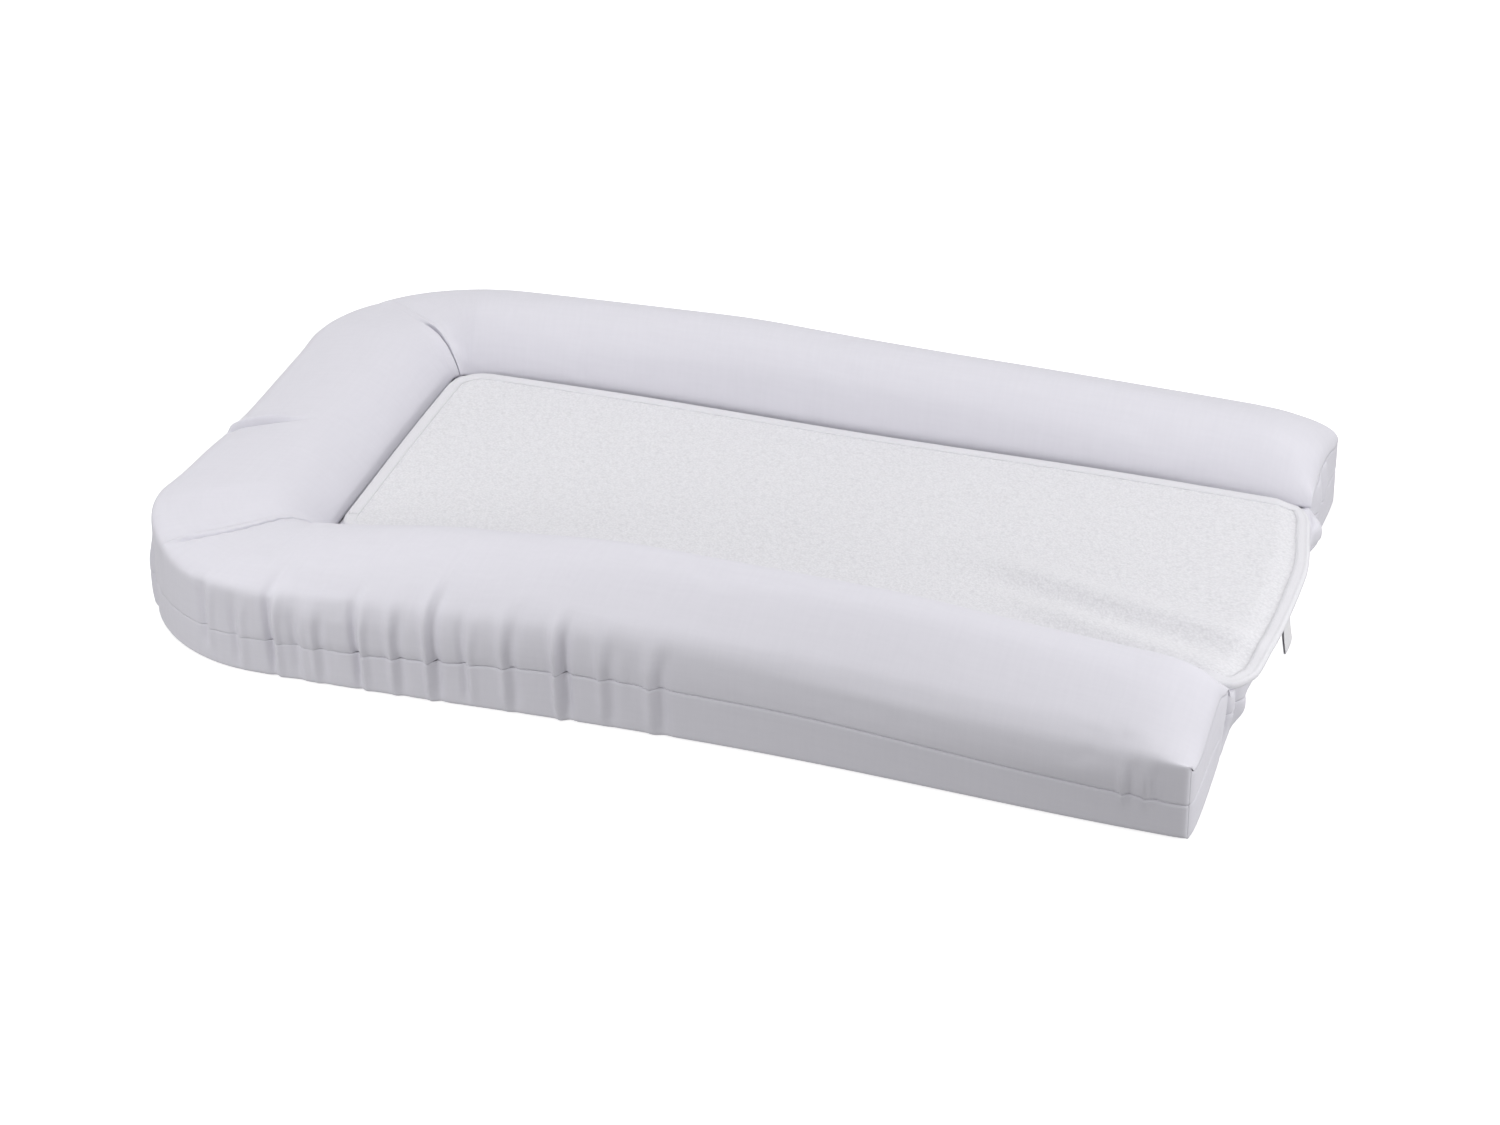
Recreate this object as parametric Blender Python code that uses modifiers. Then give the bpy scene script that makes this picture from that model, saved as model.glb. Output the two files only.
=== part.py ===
"""A baby's changing pad: a foam slab with a raised foam bolster round three sides, open at the foot.

The foam sits in a zipped waterproof liner. A fitted cotton cover goes over it, sewn from panels,
with an elastic hem tucked underneath. A bound terry towel lies between the bolsters, held at its
corners by hook-and-loop patches, and lifts off.

Metres, +Z up. +X is the open foot end, -X the closed head end, and -Y the near side. The empty
that everything hangs from puts the origin at the bottom centre of the whole object's box.
"""

import math
from collections import namedtuple

import bmesh
import bpy
from mathutils import Vector

# Driving dimensions of the covered pad
PAD_LENGTH = 0.800
PAD_WIDTH = 0.488
SIDE_BOLSTER_WIDTH = 0.110
HEAD_BOLSTER_WIDTH = 0.126
FOOT_HEIGHT = 0.070
HEAD_HEIGHT = 0.083
SIDE_ARCH = 0.027
LYING_HEIGHT = 0.0505
SEAM_HEIGHT = 0.040
CORNER_RADIUS = 0.112
INNER_CORNER_RADIUS = 0.012
WAIST = 0.012

# Section of a bolster
DOME_SHARE = 0.85
RIDGE_SHARE = 0.68
SLOPE_POWER = 2.1
DOME_STEPS = 6
SLOPE_STEPS = 5

# Steps round the pad, from the near foot corner to the far one
STRAIGHT_STEPS = 8
CORNER_STEPS = 6
HEAD_STEPS = 3
NEAR_MITRE = STRAIGHT_STEPS + CORNER_STEPS // 2
FAR_MITRE = NEAR_MITRE + CORNER_STEPS + HEAD_STEPS
LAST_STATION = 2 * (STRAIGHT_STEPS + CORNER_STEPS) + HEAD_STEPS

# Layers, from the outside in
GAP = 0.0004
CLOTH = 0.0008
LAYER_GAP = 0.0010
LINER_OUTSIDE = CLOTH + LAYER_GAP
LINER_INSIDE = LINER_OUTSIDE + CLOTH
FOAM_OUTSIDE = LINER_INSIDE + LAYER_GAP
LINER_BOTTOM = 0.0045
SLAB_BOTTOM = 0.0065
SLAB_TOP = LYING_HEIGHT - FOAM_OUTSIDE

# Hem casing under the pad, and the elastic in it
HEM_REACH = 0.036
CASING_START = 0.021
HEM_HEIGHT = 0.0030
ELASTIC_START = 0.0245
ELASTIC_WIDTH = 0.008
ELASTIC_BOTTOM = 0.0011
ELASTIC_TOP = 0.0019

# Towel, its binding and the patches that hold it
TOWEL_SIDE_CLEARANCE = 0.004
TOWEL_HEAD_CLEARANCE = 0.004
TOWEL_FOOT_CLEARANCE = 0.003
TOWEL_BOTTOM = 0.0535
TOWEL_TOP = 0.0575
TOWEL_HEAD_RADIUS = 0.028
TOWEL_FOOT_RADIUS = 0.012
BINDING_WIDTH = 0.009
BINDING_CLOTH = 0.0006
BINDING_GAP = 0.0003
PATCH_SIZE = 0.025
PATCH_INSET = 0.029
HOOK_BOTTOM = 0.0508
HOOK_TOP = 0.0516
LOOP_BOTTOM = 0.0519
LOOP_TOP = 0.0531

# Care label at the middle of the foot end
LABEL_REACH = 0.008
LABEL_WIDTH = 0.020
LABEL_CLOTH = 0.0004
LABEL_TOP = 0.0474
LABEL_BOTTOM = 0.0220
LABEL_OFFSET_Y = -0.014

# Liner zip, under the pad near the foot
ZIP_X = 0.330
SLIT_HALF_WIDTH = 0.004
SLIT_HALF_LENGTH = 0.178
TAPE_HALF_LENGTH = 0.185
TAPE_START = 0.0012
TAPE_WIDTH = 0.014
TAPE_BOTTOM = 0.0056
TAPE_TOP = 0.0060
COIL_START = 0.0007
COIL_WIDTH = 0.0018
COIL_BOTTOM = 0.0042
COIL_TOP = 0.0053
COIL_HALF_LENGTH = 0.170
STOP_LENGTH = 0.003
STOP_HALF_WIDTH = 0.0028
GROOVE_HALF_WIDTH = 0.0055
GROOVE_TOP = 0.0086

# Zip slider and puller
SLIDER_Y = 0.163
SLIDER_LENGTH = 0.009
FLANGE_HALF_WIDTH = 0.0036
WEB_HALF_WIDTH = 0.0004
LOWER_FLANGE_BOTTOM = 0.0029
LOWER_FLANGE_TOP = 0.0038
UPPER_FLANGE_BOTTOM = 0.0064
UPPER_FLANGE_TOP = 0.0072
BRIDGE_HALF_WIDTH = 0.0010
BRIDGE_HALF_LENGTH = 0.0034
BRIDGE_BAR = 0.0006
BRIDGE_FOOT = 0.0008
BRIDGE_DEPTH = 0.0017
BRIDGE_OVERLAP = 0.0004
PULLER_AXIS_Z = 0.00235
PULLER_THICKNESS = 0.0006
PULLER_ARM_OUTSIDE = 0.0026
PULLER_ARM_INSIDE = 0.0014
PULLER_TAB_HALF_WIDTH = 0.0036
PULLER_WINDOW = 0.0042
PULLER_LENGTH = 0.024

FOOT_X = PAD_LENGTH / 2
HEAD_X = -PAD_LENGTH / 2
NEAR_Y = -PAD_WIDTH / 2

Station = namedtuple("Station", "outer inner height")


# ---------------------------------------------------------------- scene and materials


def clear_scene():
    for obj in list(bpy.data.objects):
        bpy.data.objects.remove(obj, do_unlink=True)


def new_collection(name):
    collection = bpy.data.collections.new(name)
    bpy.context.scene.collection.children.link(collection)
    return collection


def material(name, colour, roughness, metallic=0.0):
    made = bpy.data.materials.new(name)
    made.use_nodes = True
    shader = made.node_tree.nodes["Principled BSDF"]
    shader.inputs["Base Color"].default_value = (*colour, 1.0)
    shader.inputs["Roughness"].default_value = roughness
    shader.inputs["Metallic"].default_value = metallic
    made.diffuse_color = (*colour, 1.0)
    return made


def make_materials():
    return {
        "cotton": material("cotton", (0.62, 0.60, 0.66), 0.85),
        "terry": material("terry", (0.74, 0.73, 0.77), 0.95),
        "binding": material("binding", (0.78, 0.77, 0.81), 0.8),
        "foam": material("foam", (0.86, 0.84, 0.74), 0.95),
        "liner": material("liner", (0.84, 0.85, 0.87), 0.35),
        "elastic": material("elastic", (0.85, 0.85, 0.85), 0.7),
        "label": material("label", (0.80, 0.78, 0.74), 0.6),
        "zip_tape": material("zip_tape", (0.80, 0.80, 0.82), 0.8),
        "zip_coil": material("zip_coil", (0.82, 0.82, 0.84), 0.4),
        "zip_metal": material("zip_metal", (0.70, 0.70, 0.72), 0.3, 1.0),
        "hook_and_loop": material("hook_and_loop", (0.80, 0.80, 0.82), 0.9),
    }


def add_object(name, data, slot, location=(0.0, 0.0, 0.0)):
    """An object in the part's collection, hung from the pad's origin empty."""
    obj = bpy.data.objects.new(name, data)
    obj.location = location
    obj.parent = PAD_ORIGIN
    PARTS.objects.link(obj)
    data.materials.append(MATERIALS[slot])
    return obj


def add_cutter(name, data):
    """A helper that a Boolean uses: never rendered, so never a node."""
    obj = bpy.data.objects.new(name, data)
    obj.hide_render = True
    obj.display_type = "WIRE"
    obj.parent = PAD_ORIGIN
    CUTTERS.objects.link(obj)
    return obj


def boolean(obj, operation, other):
    modifier = obj.modifiers.new(operation.lower() + "_" + other.name, "BOOLEAN")
    modifier.operation = operation
    modifier.solver = "EXACT"
    modifier.object = other


def solidify(obj, thickness):
    modifier = obj.modifiers.new("cloth", "SOLIDIFY")
    modifier.thickness = thickness
    modifier.offset = 0.0


# ---------------------------------------------------------------- shape helpers


def finish_mesh(name, bm):
    bmesh.ops.recalc_face_normals(bm, faces=bm.faces)
    mesh = bpy.data.meshes.new(name)
    bm.to_mesh(mesh)
    bm.free()
    mesh.shade_smooth()
    mesh.set_sharp_from_angle(angle=math.radians(35.0))
    return mesh


def add_rows(bm, rows):
    return [[bm.verts.new(point) for point in row] for row in rows]


def skin(bm, rows, close_rows=False, close_path=False):
    """Quads between neighbouring rows of vertices."""
    count = len(rows[0])
    path = list(zip(rows, rows[1:])) + ([(rows[-1], rows[0])] if close_path else [])
    for here, there in path:
        for i in range(count if close_rows else count - 1):
            j = (i + 1) % count
            bm.faces.new((here[i], here[j], there[j], there[i]))


def sheet_mesh(name, rows):
    """An open surface through the rows of points."""
    bm = bmesh.new()
    skin(bm, add_rows(bm, rows))
    return finish_mesh(name, bm)


def loft_mesh(name, sections, close_path=False):
    """A closed solid through closed sections, capped at both ends unless the path closes."""
    bm = bmesh.new()
    rows = add_rows(bm, sections)
    skin(bm, rows, close_rows=True, close_path=close_path)
    if not close_path:
        bm.faces.new(rows[0])
        bm.faces.new(rows[-1])
    return finish_mesh(name, bm)


def face_mesh(name, points):
    bm = bmesh.new()
    bm.faces.new([bm.verts.new(point) for point in points])
    return finish_mesh(name, bm)


def box_mesh(name, low, high):
    bm = bmesh.new()
    bmesh.ops.create_cube(bm, size=1.0)
    for vertex in bm.verts:
        for axis in range(3):
            share = vertex.co[axis] + 0.5
            vertex.co[axis] = low[axis] + (high[axis] - low[axis]) * share
    return finish_mesh(name, bm)


def flat_curve(name, outlines, thickness):
    """A plate in the XY plane: the first outline is its edge, and the others are holes."""
    curve = bpy.data.curves.new(name, "CURVE")
    curve.dimensions = "2D"
    curve.fill_mode = "BOTH"
    curve.extrude = thickness / 2
    for outline in outlines:
        spline = curve.splines.new("POLY")
        spline.points.add(len(outline) - 1)
        for point, (x, y) in zip(spline.points, outline):
            point.co = (x, y, 0.0, 1.0)
        spline.use_cyclic_u = True
    return curve


def mesh_from_curve(name, curve):
    """The mesh that a curve makes, with its caps welded to its sides."""
    holder = bpy.data.objects.new(name + "_curve", curve)
    CUTTERS.objects.link(holder)
    graph = bpy.context.evaluated_depsgraph_get()
    mesh = bpy.data.meshes.new_from_object(holder.evaluated_get(graph))
    bpy.data.objects.remove(holder, do_unlink=True)
    bm = bmesh.new()
    bm.from_mesh(mesh)
    bmesh.ops.remove_doubles(bm, verts=bm.verts, dist=0.00001)
    return finish_mesh(name, bm)


def arc(centre, radius, start, end, steps):
    """Points on an arc, with the angles in degrees, both ends included."""
    points = []
    for i in range(steps + 1):
        angle = math.radians(start + (end - start) * i / steps)
        points.append((centre[0] + radius * math.cos(angle), centre[1] + radius * math.sin(angle)))
    return points


# ---------------------------------------------------------------- the pad's outline and section


def side_height(share):
    """A side bolster's height, from the foot (0) to the head corner (1): it arches in between."""
    level = FOOT_HEIGHT + (HEAD_HEIGHT - FOOT_HEIGHT) * share
    return level + SIDE_ARCH * math.sin(math.pi * share)


def side_stations(foot_x):
    """Stations along the near side, from the foot to where the head corner starts."""
    outer_end = HEAD_X + CORNER_RADIUS
    inner_end = HEAD_X + HEAD_BOLSTER_WIDTH + INNER_CORNER_RADIUS
    stations = []
    for i in range(STRAIGHT_STEPS + 1):
        share = i / STRAIGHT_STEPS
        x = foot_x + (outer_end - foot_x) * share
        waist = WAIST * math.sin(math.pi * share) ** 2
        outer = Vector((x, NEAR_Y + waist))
        inner = Vector((foot_x + (inner_end - foot_x) * share, NEAR_Y + SIDE_BOLSTER_WIDTH))
        stations.append(Station(outer, inner, side_height(share)))
    return stations


def corner_stations():
    """Stations round the near head corner, after the end of the side."""
    outer_arc = arc((HEAD_X + CORNER_RADIUS, NEAR_Y + CORNER_RADIUS), CORNER_RADIUS, 270, 180, CORNER_STEPS)
    inner_centre = (
        HEAD_X + HEAD_BOLSTER_WIDTH + INNER_CORNER_RADIUS,
        NEAR_Y + SIDE_BOLSTER_WIDTH + INNER_CORNER_RADIUS,
    )
    inner_arc = arc(inner_centre, INNER_CORNER_RADIUS, 270, 180, CORNER_STEPS)
    stations = []
    for outer, inner in list(zip(outer_arc, inner_arc))[1:]:
        stations.append(Station(Vector(outer), Vector(inner), HEAD_HEIGHT))
    return stations


def head_stations():
    """Stations between the two head corners."""
    outer_y = NEAR_Y + CORNER_RADIUS
    inner_y = NEAR_Y + SIDE_BOLSTER_WIDTH + INNER_CORNER_RADIUS
    stations = []
    for i in range(1, HEAD_STEPS):
        side = 1.0 - 2.0 * i / HEAD_STEPS
        outer = Vector((HEAD_X, outer_y * side))
        inner = Vector((HEAD_X + HEAD_BOLSTER_WIDTH, inner_y * side))
        stations.append(Station(outer, inner, HEAD_HEIGHT))
    return stations


def pad_stations(foot_x=FOOT_X):
    """Every station, from the near foot corner round the head to the far foot corner."""
    near = side_stations(foot_x) + corner_stations()
    far = [
        Station(Vector((s.outer.x, -s.outer.y)), Vector((s.inner.x, -s.inner.y)), s.height)
        for s in reversed(near)
    ]
    return near + head_stations() + far


def bolster_profile(station, start_z):
    """The cover's outer surface over the bolster, as (distance in from the outer wall, height)."""
    width = (station.inner - station.outer).length
    ridge = RIDGE_SHARE * width
    dome = DOME_SHARE * (station.height - LYING_HEIGHT)
    shoulder = station.height - dome
    points = [(0.0, start_z), (0.0, shoulder)]
    for i in range(1, DOME_STEPS + 1):
        angle = 0.5 * math.pi * i / DOME_STEPS
        points.append((ridge * (1.0 - math.cos(angle)), shoulder + dome * math.sin(angle)))
    for i in range(1, SLOPE_STEPS + 1):
        share = i / SLOPE_STEPS
        drop = (station.height - LYING_HEIGHT) * share**SLOPE_POWER
        points.append((ridge + (width - ridge) * share, station.height - drop))
    return points


def inset_profile(points, depth):
    """The same profile moved into the pad. Past its last point it carries on level."""
    ends = [(points[0][0], points[0][1] - 1.0)] + points + [(points[-1][0] + 1.0, points[-1][1])]
    moved = []
    for before, here, after in zip(ends, ends[1:], ends[2:]):
        into = Vector((here[1] - before[1], before[0] - here[0])).normalized()
        out = Vector((after[1] - here[1], here[0] - after[0])).normalized()
        shift = (into + out) * (depth / (1.0 + into.dot(out)))
        moved.append((here[0] + shift.x, here[1] + shift.y))
    moved[0] = (moved[0][0], points[0][1])
    return moved


def place(station, profile, along=0.0):
    """A section's points in space, moved by along from this station towards the next."""
    inward = (station.inner - station.outer).normalized()
    forward = Vector((inward.y, -inward.x))
    points = []
    for depth, height in profile:
        plan = station.outer + inward * depth + forward * along
        points.append((plan.x, plan.y, height))
    return points


def profile_rows(stations, first, last, depth, start_z):
    """Rows over the bolster from one station to another, each kept half a gap off a mitre."""
    rows = []
    for i in range(first, last + 1):
        profile = inset_profile(bolster_profile(stations[i], start_z), depth)
        along = 0.0
        if i == first and first in (NEAR_MITRE, FAR_MITRE):
            along = -GAP / 2
        if i == last and last in (NEAR_MITRE, FAR_MITRE):
            along = GAP / 2
        rows.append(place(stations[i], profile, along))
    return rows


def pad_body_mesh(name, rows):
    """A closed body the shape of the pad: the rows' sheet, closed at the middle, bottom and foot."""
    bm = bmesh.new()
    verts = add_rows(bm, rows)
    skin(bm, verts)
    bm.faces.new([row[-1] for row in verts])
    bm.faces.new([row[0] for row in verts])
    bm.faces.new(verts[0] + verts[-1][::-1])
    return finish_mesh(name, bm)


# ---------------------------------------------------------------- foam and liner


def make_foam():
    stations = pad_stations(FOOT_X - FOAM_OUTSIDE)
    edge = [(FOAM_OUTSIDE, SLAB_BOTTOM), (FOAM_OUTSIDE, SLAB_TOP)]
    rows = [place(station, edge) for station in stations]
    slab = add_object("base_foam_slab", pad_body_mesh("base_foam_slab", rows), "foam")
    groove = box_mesh(
        "zip_groove",
        (ZIP_X - GROOVE_HALF_WIDTH, -TAPE_HALF_LENGTH, 0.0),
        (ZIP_X + GROOVE_HALF_WIDTH, TAPE_HALF_LENGTH, GROOVE_TOP),
    )
    boolean(slab, "DIFFERENCE", add_cutter("zip_groove", groove))
    spans = {
        "near_bolster_foam": (0, NEAR_MITRE),
        "head_bolster_foam": (NEAR_MITRE, FAR_MITRE),
        "far_bolster_foam": (FAR_MITRE, LAST_STATION),
    }
    base = SLAB_TOP + GAP
    for name, (first, last) in spans.items():
        sections = profile_rows(stations, first, last, FOAM_OUTSIDE, base)
        sections = [[(x, y, max(z, base)) for x, y, z in section] for section in sections]
        add_object(name, loft_mesh(name, sections), "foam")


def liner_body(name, depth, bottom):
    rows = profile_rows(pad_stations(FOOT_X - depth), 0, LAST_STATION, depth, bottom)
    return pad_body_mesh(name, rows)


def make_liner():
    """A thin shell round all the foam, open along the zip's slit underneath."""
    outside = liner_body("waterproof_liner", LINER_OUTSIDE, LINER_BOTTOM)
    inside = liner_body("liner_inside", LINER_INSIDE, LINER_BOTTOM + CLOTH)
    slit = box_mesh(
        "liner_slit",
        (ZIP_X - SLIT_HALF_WIDTH, -SLIT_HALF_LENGTH, LINER_BOTTOM - CLOTH),
        (ZIP_X + SLIT_HALF_WIDTH, SLIT_HALF_LENGTH, LINER_BOTTOM + 2 * CLOTH),
    )
    liner = add_object("waterproof_liner", outside, "liner")
    boolean(liner, "DIFFERENCE", add_cutter("liner_inside", inside))
    boolean(liner, "DIFFERENCE", add_cutter("liner_slit", slit))


# ---------------------------------------------------------------- zip


def make_zip_tapes():
    for name, side in (("front", 1.0), ("rear", -1.0)):
        tape = sorted((ZIP_X + side * TAPE_START, ZIP_X + side * (TAPE_START + TAPE_WIDTH)))
        mesh = box_mesh(
            f"zip_tape_{name}",
            (tape[0], -TAPE_HALF_LENGTH, TAPE_BOTTOM),
            (tape[1], TAPE_HALF_LENGTH, TAPE_TOP),
        )
        add_object(mesh.name, mesh, "zip_tape")
        coil = sorted((ZIP_X + side * COIL_START, ZIP_X + side * (COIL_START + COIL_WIDTH)))
        mesh = box_mesh(
            f"zip_coil_{name}",
            (coil[0], -COIL_HALF_LENGTH, COIL_BOTTOM),
            (coil[1], COIL_HALF_LENGTH, COIL_TOP),
        )
        add_object(mesh.name, mesh, "zip_coil")


def make_zip_stops():
    start = COIL_HALF_LENGTH + GAP
    for name, side in (("top", 1.0), ("bottom", -1.0)):
        span = sorted((side * start, side * (start + STOP_LENGTH)))
        mesh = box_mesh(
            f"zip_{name}_stop",
            (ZIP_X - STOP_HALF_WIDTH, span[0], COIL_BOTTOM),
            (ZIP_X + STOP_HALF_WIDTH, span[1], COIL_TOP),
        )
        add_object(mesh.name, mesh, "zip_metal")


def slider_outline():
    """The slider's I-shaped section, as (x, z) from the zip's line."""
    right = [
        (FLANGE_HALF_WIDTH, LOWER_FLANGE_BOTTOM),
        (FLANGE_HALF_WIDTH, LOWER_FLANGE_TOP),
        (WEB_HALF_WIDTH, LOWER_FLANGE_TOP),
        (WEB_HALF_WIDTH, UPPER_FLANGE_BOTTOM),
        (FLANGE_HALF_WIDTH, UPPER_FLANGE_BOTTOM),
        (FLANGE_HALF_WIDTH, UPPER_FLANGE_TOP),
    ]
    return right + [(-x, z) for x, z in reversed(right)]


def bridge_outline():
    """The staple under the slider that the puller hooks on, as (y, z)."""
    top = LOWER_FLANGE_BOTTOM + BRIDGE_OVERLAP
    low = LOWER_FLANGE_BOTTOM - BRIDGE_DEPTH
    outside = BRIDGE_HALF_LENGTH
    inside = BRIDGE_HALF_LENGTH - BRIDGE_FOOT
    right = [
        (inside, low + BRIDGE_BAR),
        (inside, top),
        (outside, top),
        (outside, low + BRIDGE_BAR),
        (outside - BRIDGE_BAR, low),
    ]
    return right + [(-y, z) for y, z in reversed(right)]


def make_zip_slider():
    """The slider straddles the two coils: its web runs between them."""
    half = SLIDER_LENGTH / 2
    sections = [[(x, y, z - PULLER_AXIS_Z) for x, z in slider_outline()] for y in (-half, half)]
    place_at = (ZIP_X, SLIDER_Y, PULLER_AXIS_Z)
    slider = add_object("zip_slider", loft_mesh("zip_slider", sections), "zip_metal", place_at)
    staple = [
        [(x, y, z - PULLER_AXIS_Z) for y, z in bridge_outline()]
        for x in (-BRIDGE_HALF_WIDTH, BRIDGE_HALF_WIDTH)
    ]
    bridge = add_cutter("slider_bridge", loft_mesh("slider_bridge", staple))
    bridge.location = place_at
    boolean(slider, "UNION", bridge)


def make_zip_puller():
    """A flat tab that lies along the zip towards -Y. Its end bar passes through the staple."""
    back = PULLER_THICKNESS / 2
    round_end = arc((0.0, PULLER_TAB_HALF_WIDTH - PULLER_LENGTH), PULLER_TAB_HALF_WIDTH, 180, 360, 8)
    outside = [(PULLER_ARM_OUTSIDE, -PULLER_WINDOW), (PULLER_ARM_OUTSIDE, back)]
    outside += [(-x, y) for x, y in reversed(outside)]
    window = [
        (PULLER_ARM_INSIDE, -back),
        (-PULLER_ARM_INSIDE, -back),
        (-PULLER_ARM_INSIDE, -PULLER_WINDOW),
        (PULLER_ARM_INSIDE, -PULLER_WINDOW),
    ]
    curve = flat_curve("zip_puller", [round_end + outside, window], PULLER_THICKNESS)
    mesh = mesh_from_curve("zip_puller", curve)
    add_object("zip_puller", mesh, "zip_metal", (ZIP_X, SLIDER_Y, PULLER_AXIS_Z))


# ---------------------------------------------------------------- fitted cotton cover


def make_cover_top():
    """The panels above the side seam: one over each bolster, the middle and the foot end."""
    panel_foot = FOOT_X - CLOTH - GAP
    stations = pad_stations(panel_foot)
    start_z = SEAM_HEIGHT + GAP / 2
    spans = {
        "cover_near_panel": (0, NEAR_MITRE),
        "cover_head_panel": (NEAR_MITRE, FAR_MITRE),
        "cover_far_panel": (FAR_MITRE, LAST_STATION),
    }
    for name, (first, last) in spans.items():
        rows = profile_rows(stations, first, last, CLOTH / 2, start_z)
        solidify(add_object(name, sheet_mesh(name, rows), "cotton"), CLOTH)
    middle = []
    for station in stations:
        inward = (station.inner - station.outer).normalized()
        plan = station.inner + inward * LAYER_GAP
        middle.append((plan.x, plan.y, LYING_HEIGHT - CLOTH / 2))
    centre = add_object("cover_centre_panel", face_mesh("cover_centre_panel", middle), "cotton")
    solidify(centre, CLOTH)


def make_cover_foot():
    """The upright panel that closes the foot end, above the seam."""
    near_end = bolster_profile(pad_stations()[0], SEAM_HEIGHT + GAP / 2)
    x = FOOT_X - CLOTH / 2
    near = [(x, NEAR_Y + depth, height) for depth, height in near_end]
    far = [(x, -y, z) for x, y, z in reversed(near)]
    foot = add_object("cover_foot_panel", face_mesh("cover_foot_panel", near + far), "cotton")
    solidify(foot, CLOTH)


def hem_outline():
    """The band's J-shaped section: down the wall, under the pad, and back over the elastic."""
    top = SEAM_HEIGHT - GAP / 2
    return [
        (0.0, top),
        (0.0, 0.0),
        (HEM_REACH, 0.0),
        (HEM_REACH, HEM_HEIGHT),
        (CASING_START, HEM_HEIGHT),
        (CASING_START, HEM_HEIGHT - CLOTH),
        (HEM_REACH - CLOTH, HEM_HEIGHT - CLOTH),
        (HEM_REACH - CLOTH, CLOTH),
        (CLOTH, CLOTH),
        (CLOTH, top),
    ]


def foot_mitre(profile, side, gap):
    """A section cut at 45 degrees in plan, at the near (-1) or far (1) foot corner."""
    return [(FOOT_X - depth - gap, side * (-NEAR_Y - depth), height) for depth, height in profile]


def make_cover_band():
    """The strip below the side seam, with the hem casing, in four lengths joined at the mitres."""
    section = hem_outline()
    stations = pad_stations()
    near = [foot_mitre(section, -1.0, GAP)]
    near += [place(stations[i], section) for i in range(1, NEAR_MITRE)]
    near.append(place(stations[NEAR_MITRE], section, GAP / 2))
    add_object("cover_near_band", loft_mesh("cover_near_band", near), "cotton")
    far = [[(x, -y, z) for x, y, z in row] for row in near]
    add_object("cover_far_band", loft_mesh("cover_far_band", far), "cotton")
    head = [place(stations[i], section) for i in range(NEAR_MITRE + 1, FAR_MITRE)]
    head.insert(0, place(stations[NEAR_MITRE], section, -GAP / 2))
    head.append(place(stations[FAR_MITRE], section, GAP / 2))
    add_object("cover_head_band", loft_mesh("cover_head_band", head), "cotton")
    foot = [foot_mitre(section, side, 0.0) for side in (-1.0, 1.0)]
    add_object("cover_foot_band", loft_mesh("cover_foot_band", foot), "cotton")


def make_hem_elastic():
    """A flat elastic loop all round, inside the hem casing."""
    end = ELASTIC_START + ELASTIC_WIDTH
    section = [
        (ELASTIC_START, ELASTIC_BOTTOM),
        (end, ELASTIC_BOTTOM),
        (end, ELASTIC_TOP),
        (ELASTIC_START, ELASTIC_TOP),
    ]
    stations = pad_stations()
    rows = [foot_mitre(section, -1.0, 0.0)]
    rows += [place(station, section) for station in stations[1:-1]]
    rows.append(foot_mitre(section, 1.0, 0.0))
    add_object("hem_elastic", loft_mesh("hem_elastic", rows, close_path=True), "elastic")


def make_care_label():
    """A blank folded tape sewn at the middle of the foot end, its outer leaf standing off."""
    leaf = LABEL_CLOTH / 2 + GAP
    path = [
        (leaf, LABEL_BOTTOM),
        (leaf, LABEL_TOP - 3 * LABEL_CLOTH),
        (2 * leaf, LABEL_TOP),
        (4 * leaf, LABEL_TOP - 3 * LABEL_CLOTH),
        (LABEL_REACH - LABEL_CLOTH / 2, LABEL_BOTTOM),
    ]
    half = LABEL_WIDTH / 2
    rows = [[(FOOT_X + x, LABEL_OFFSET_Y + y, z) for x, z in path] for y in (-half, half)]
    solidify(add_object("care_label", sheet_mesh("care_label", rows), "label"), LABEL_CLOTH)


# ---------------------------------------------------------------- towel


def towel_box():
    """The towel's plan: its head end, its foot end and half its width, over the binding."""
    head = HEAD_X + HEAD_BOLSTER_WIDTH + TOWEL_HEAD_CLEARANCE
    foot = FOOT_X - TOWEL_FOOT_CLEARANCE
    half = -NEAR_Y - SIDE_BOLSTER_WIDTH - TOWEL_SIDE_CLEARANCE
    return head, foot, half


def towel_outline(inset):
    """Points round the towel, counter-clockwise, its foot corners tighter than its head corners."""
    head, foot, half = towel_box()
    turns = [
        (head, -1.0, -half, 180, TOWEL_HEAD_RADIUS),
        (foot, 1.0, -half, 270, TOWEL_FOOT_RADIUS),
        (foot, 1.0, half, 0, TOWEL_FOOT_RADIUS),
        (head, -1.0, half, 90, TOWEL_HEAD_RADIUS),
    ]
    points = []
    for x, outward, y, start, radius in turns:
        centre = (x - outward * radius, y - math.copysign(radius, y))
        points += arc(centre, radius - inset, start, start + 90, CORNER_STEPS)
    return points


def make_towel():
    outline = towel_outline(BINDING_CLOTH + BINDING_GAP)
    curve = flat_curve("terry_towel", [outline], TOWEL_TOP - TOWEL_BOTTOM)
    mesh = mesh_from_curve("terry_towel", curve)
    add_object("terry_towel", mesh, "terry", (0.0, 0.0, (TOWEL_BOTTOM + TOWEL_TOP) / 2))


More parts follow.
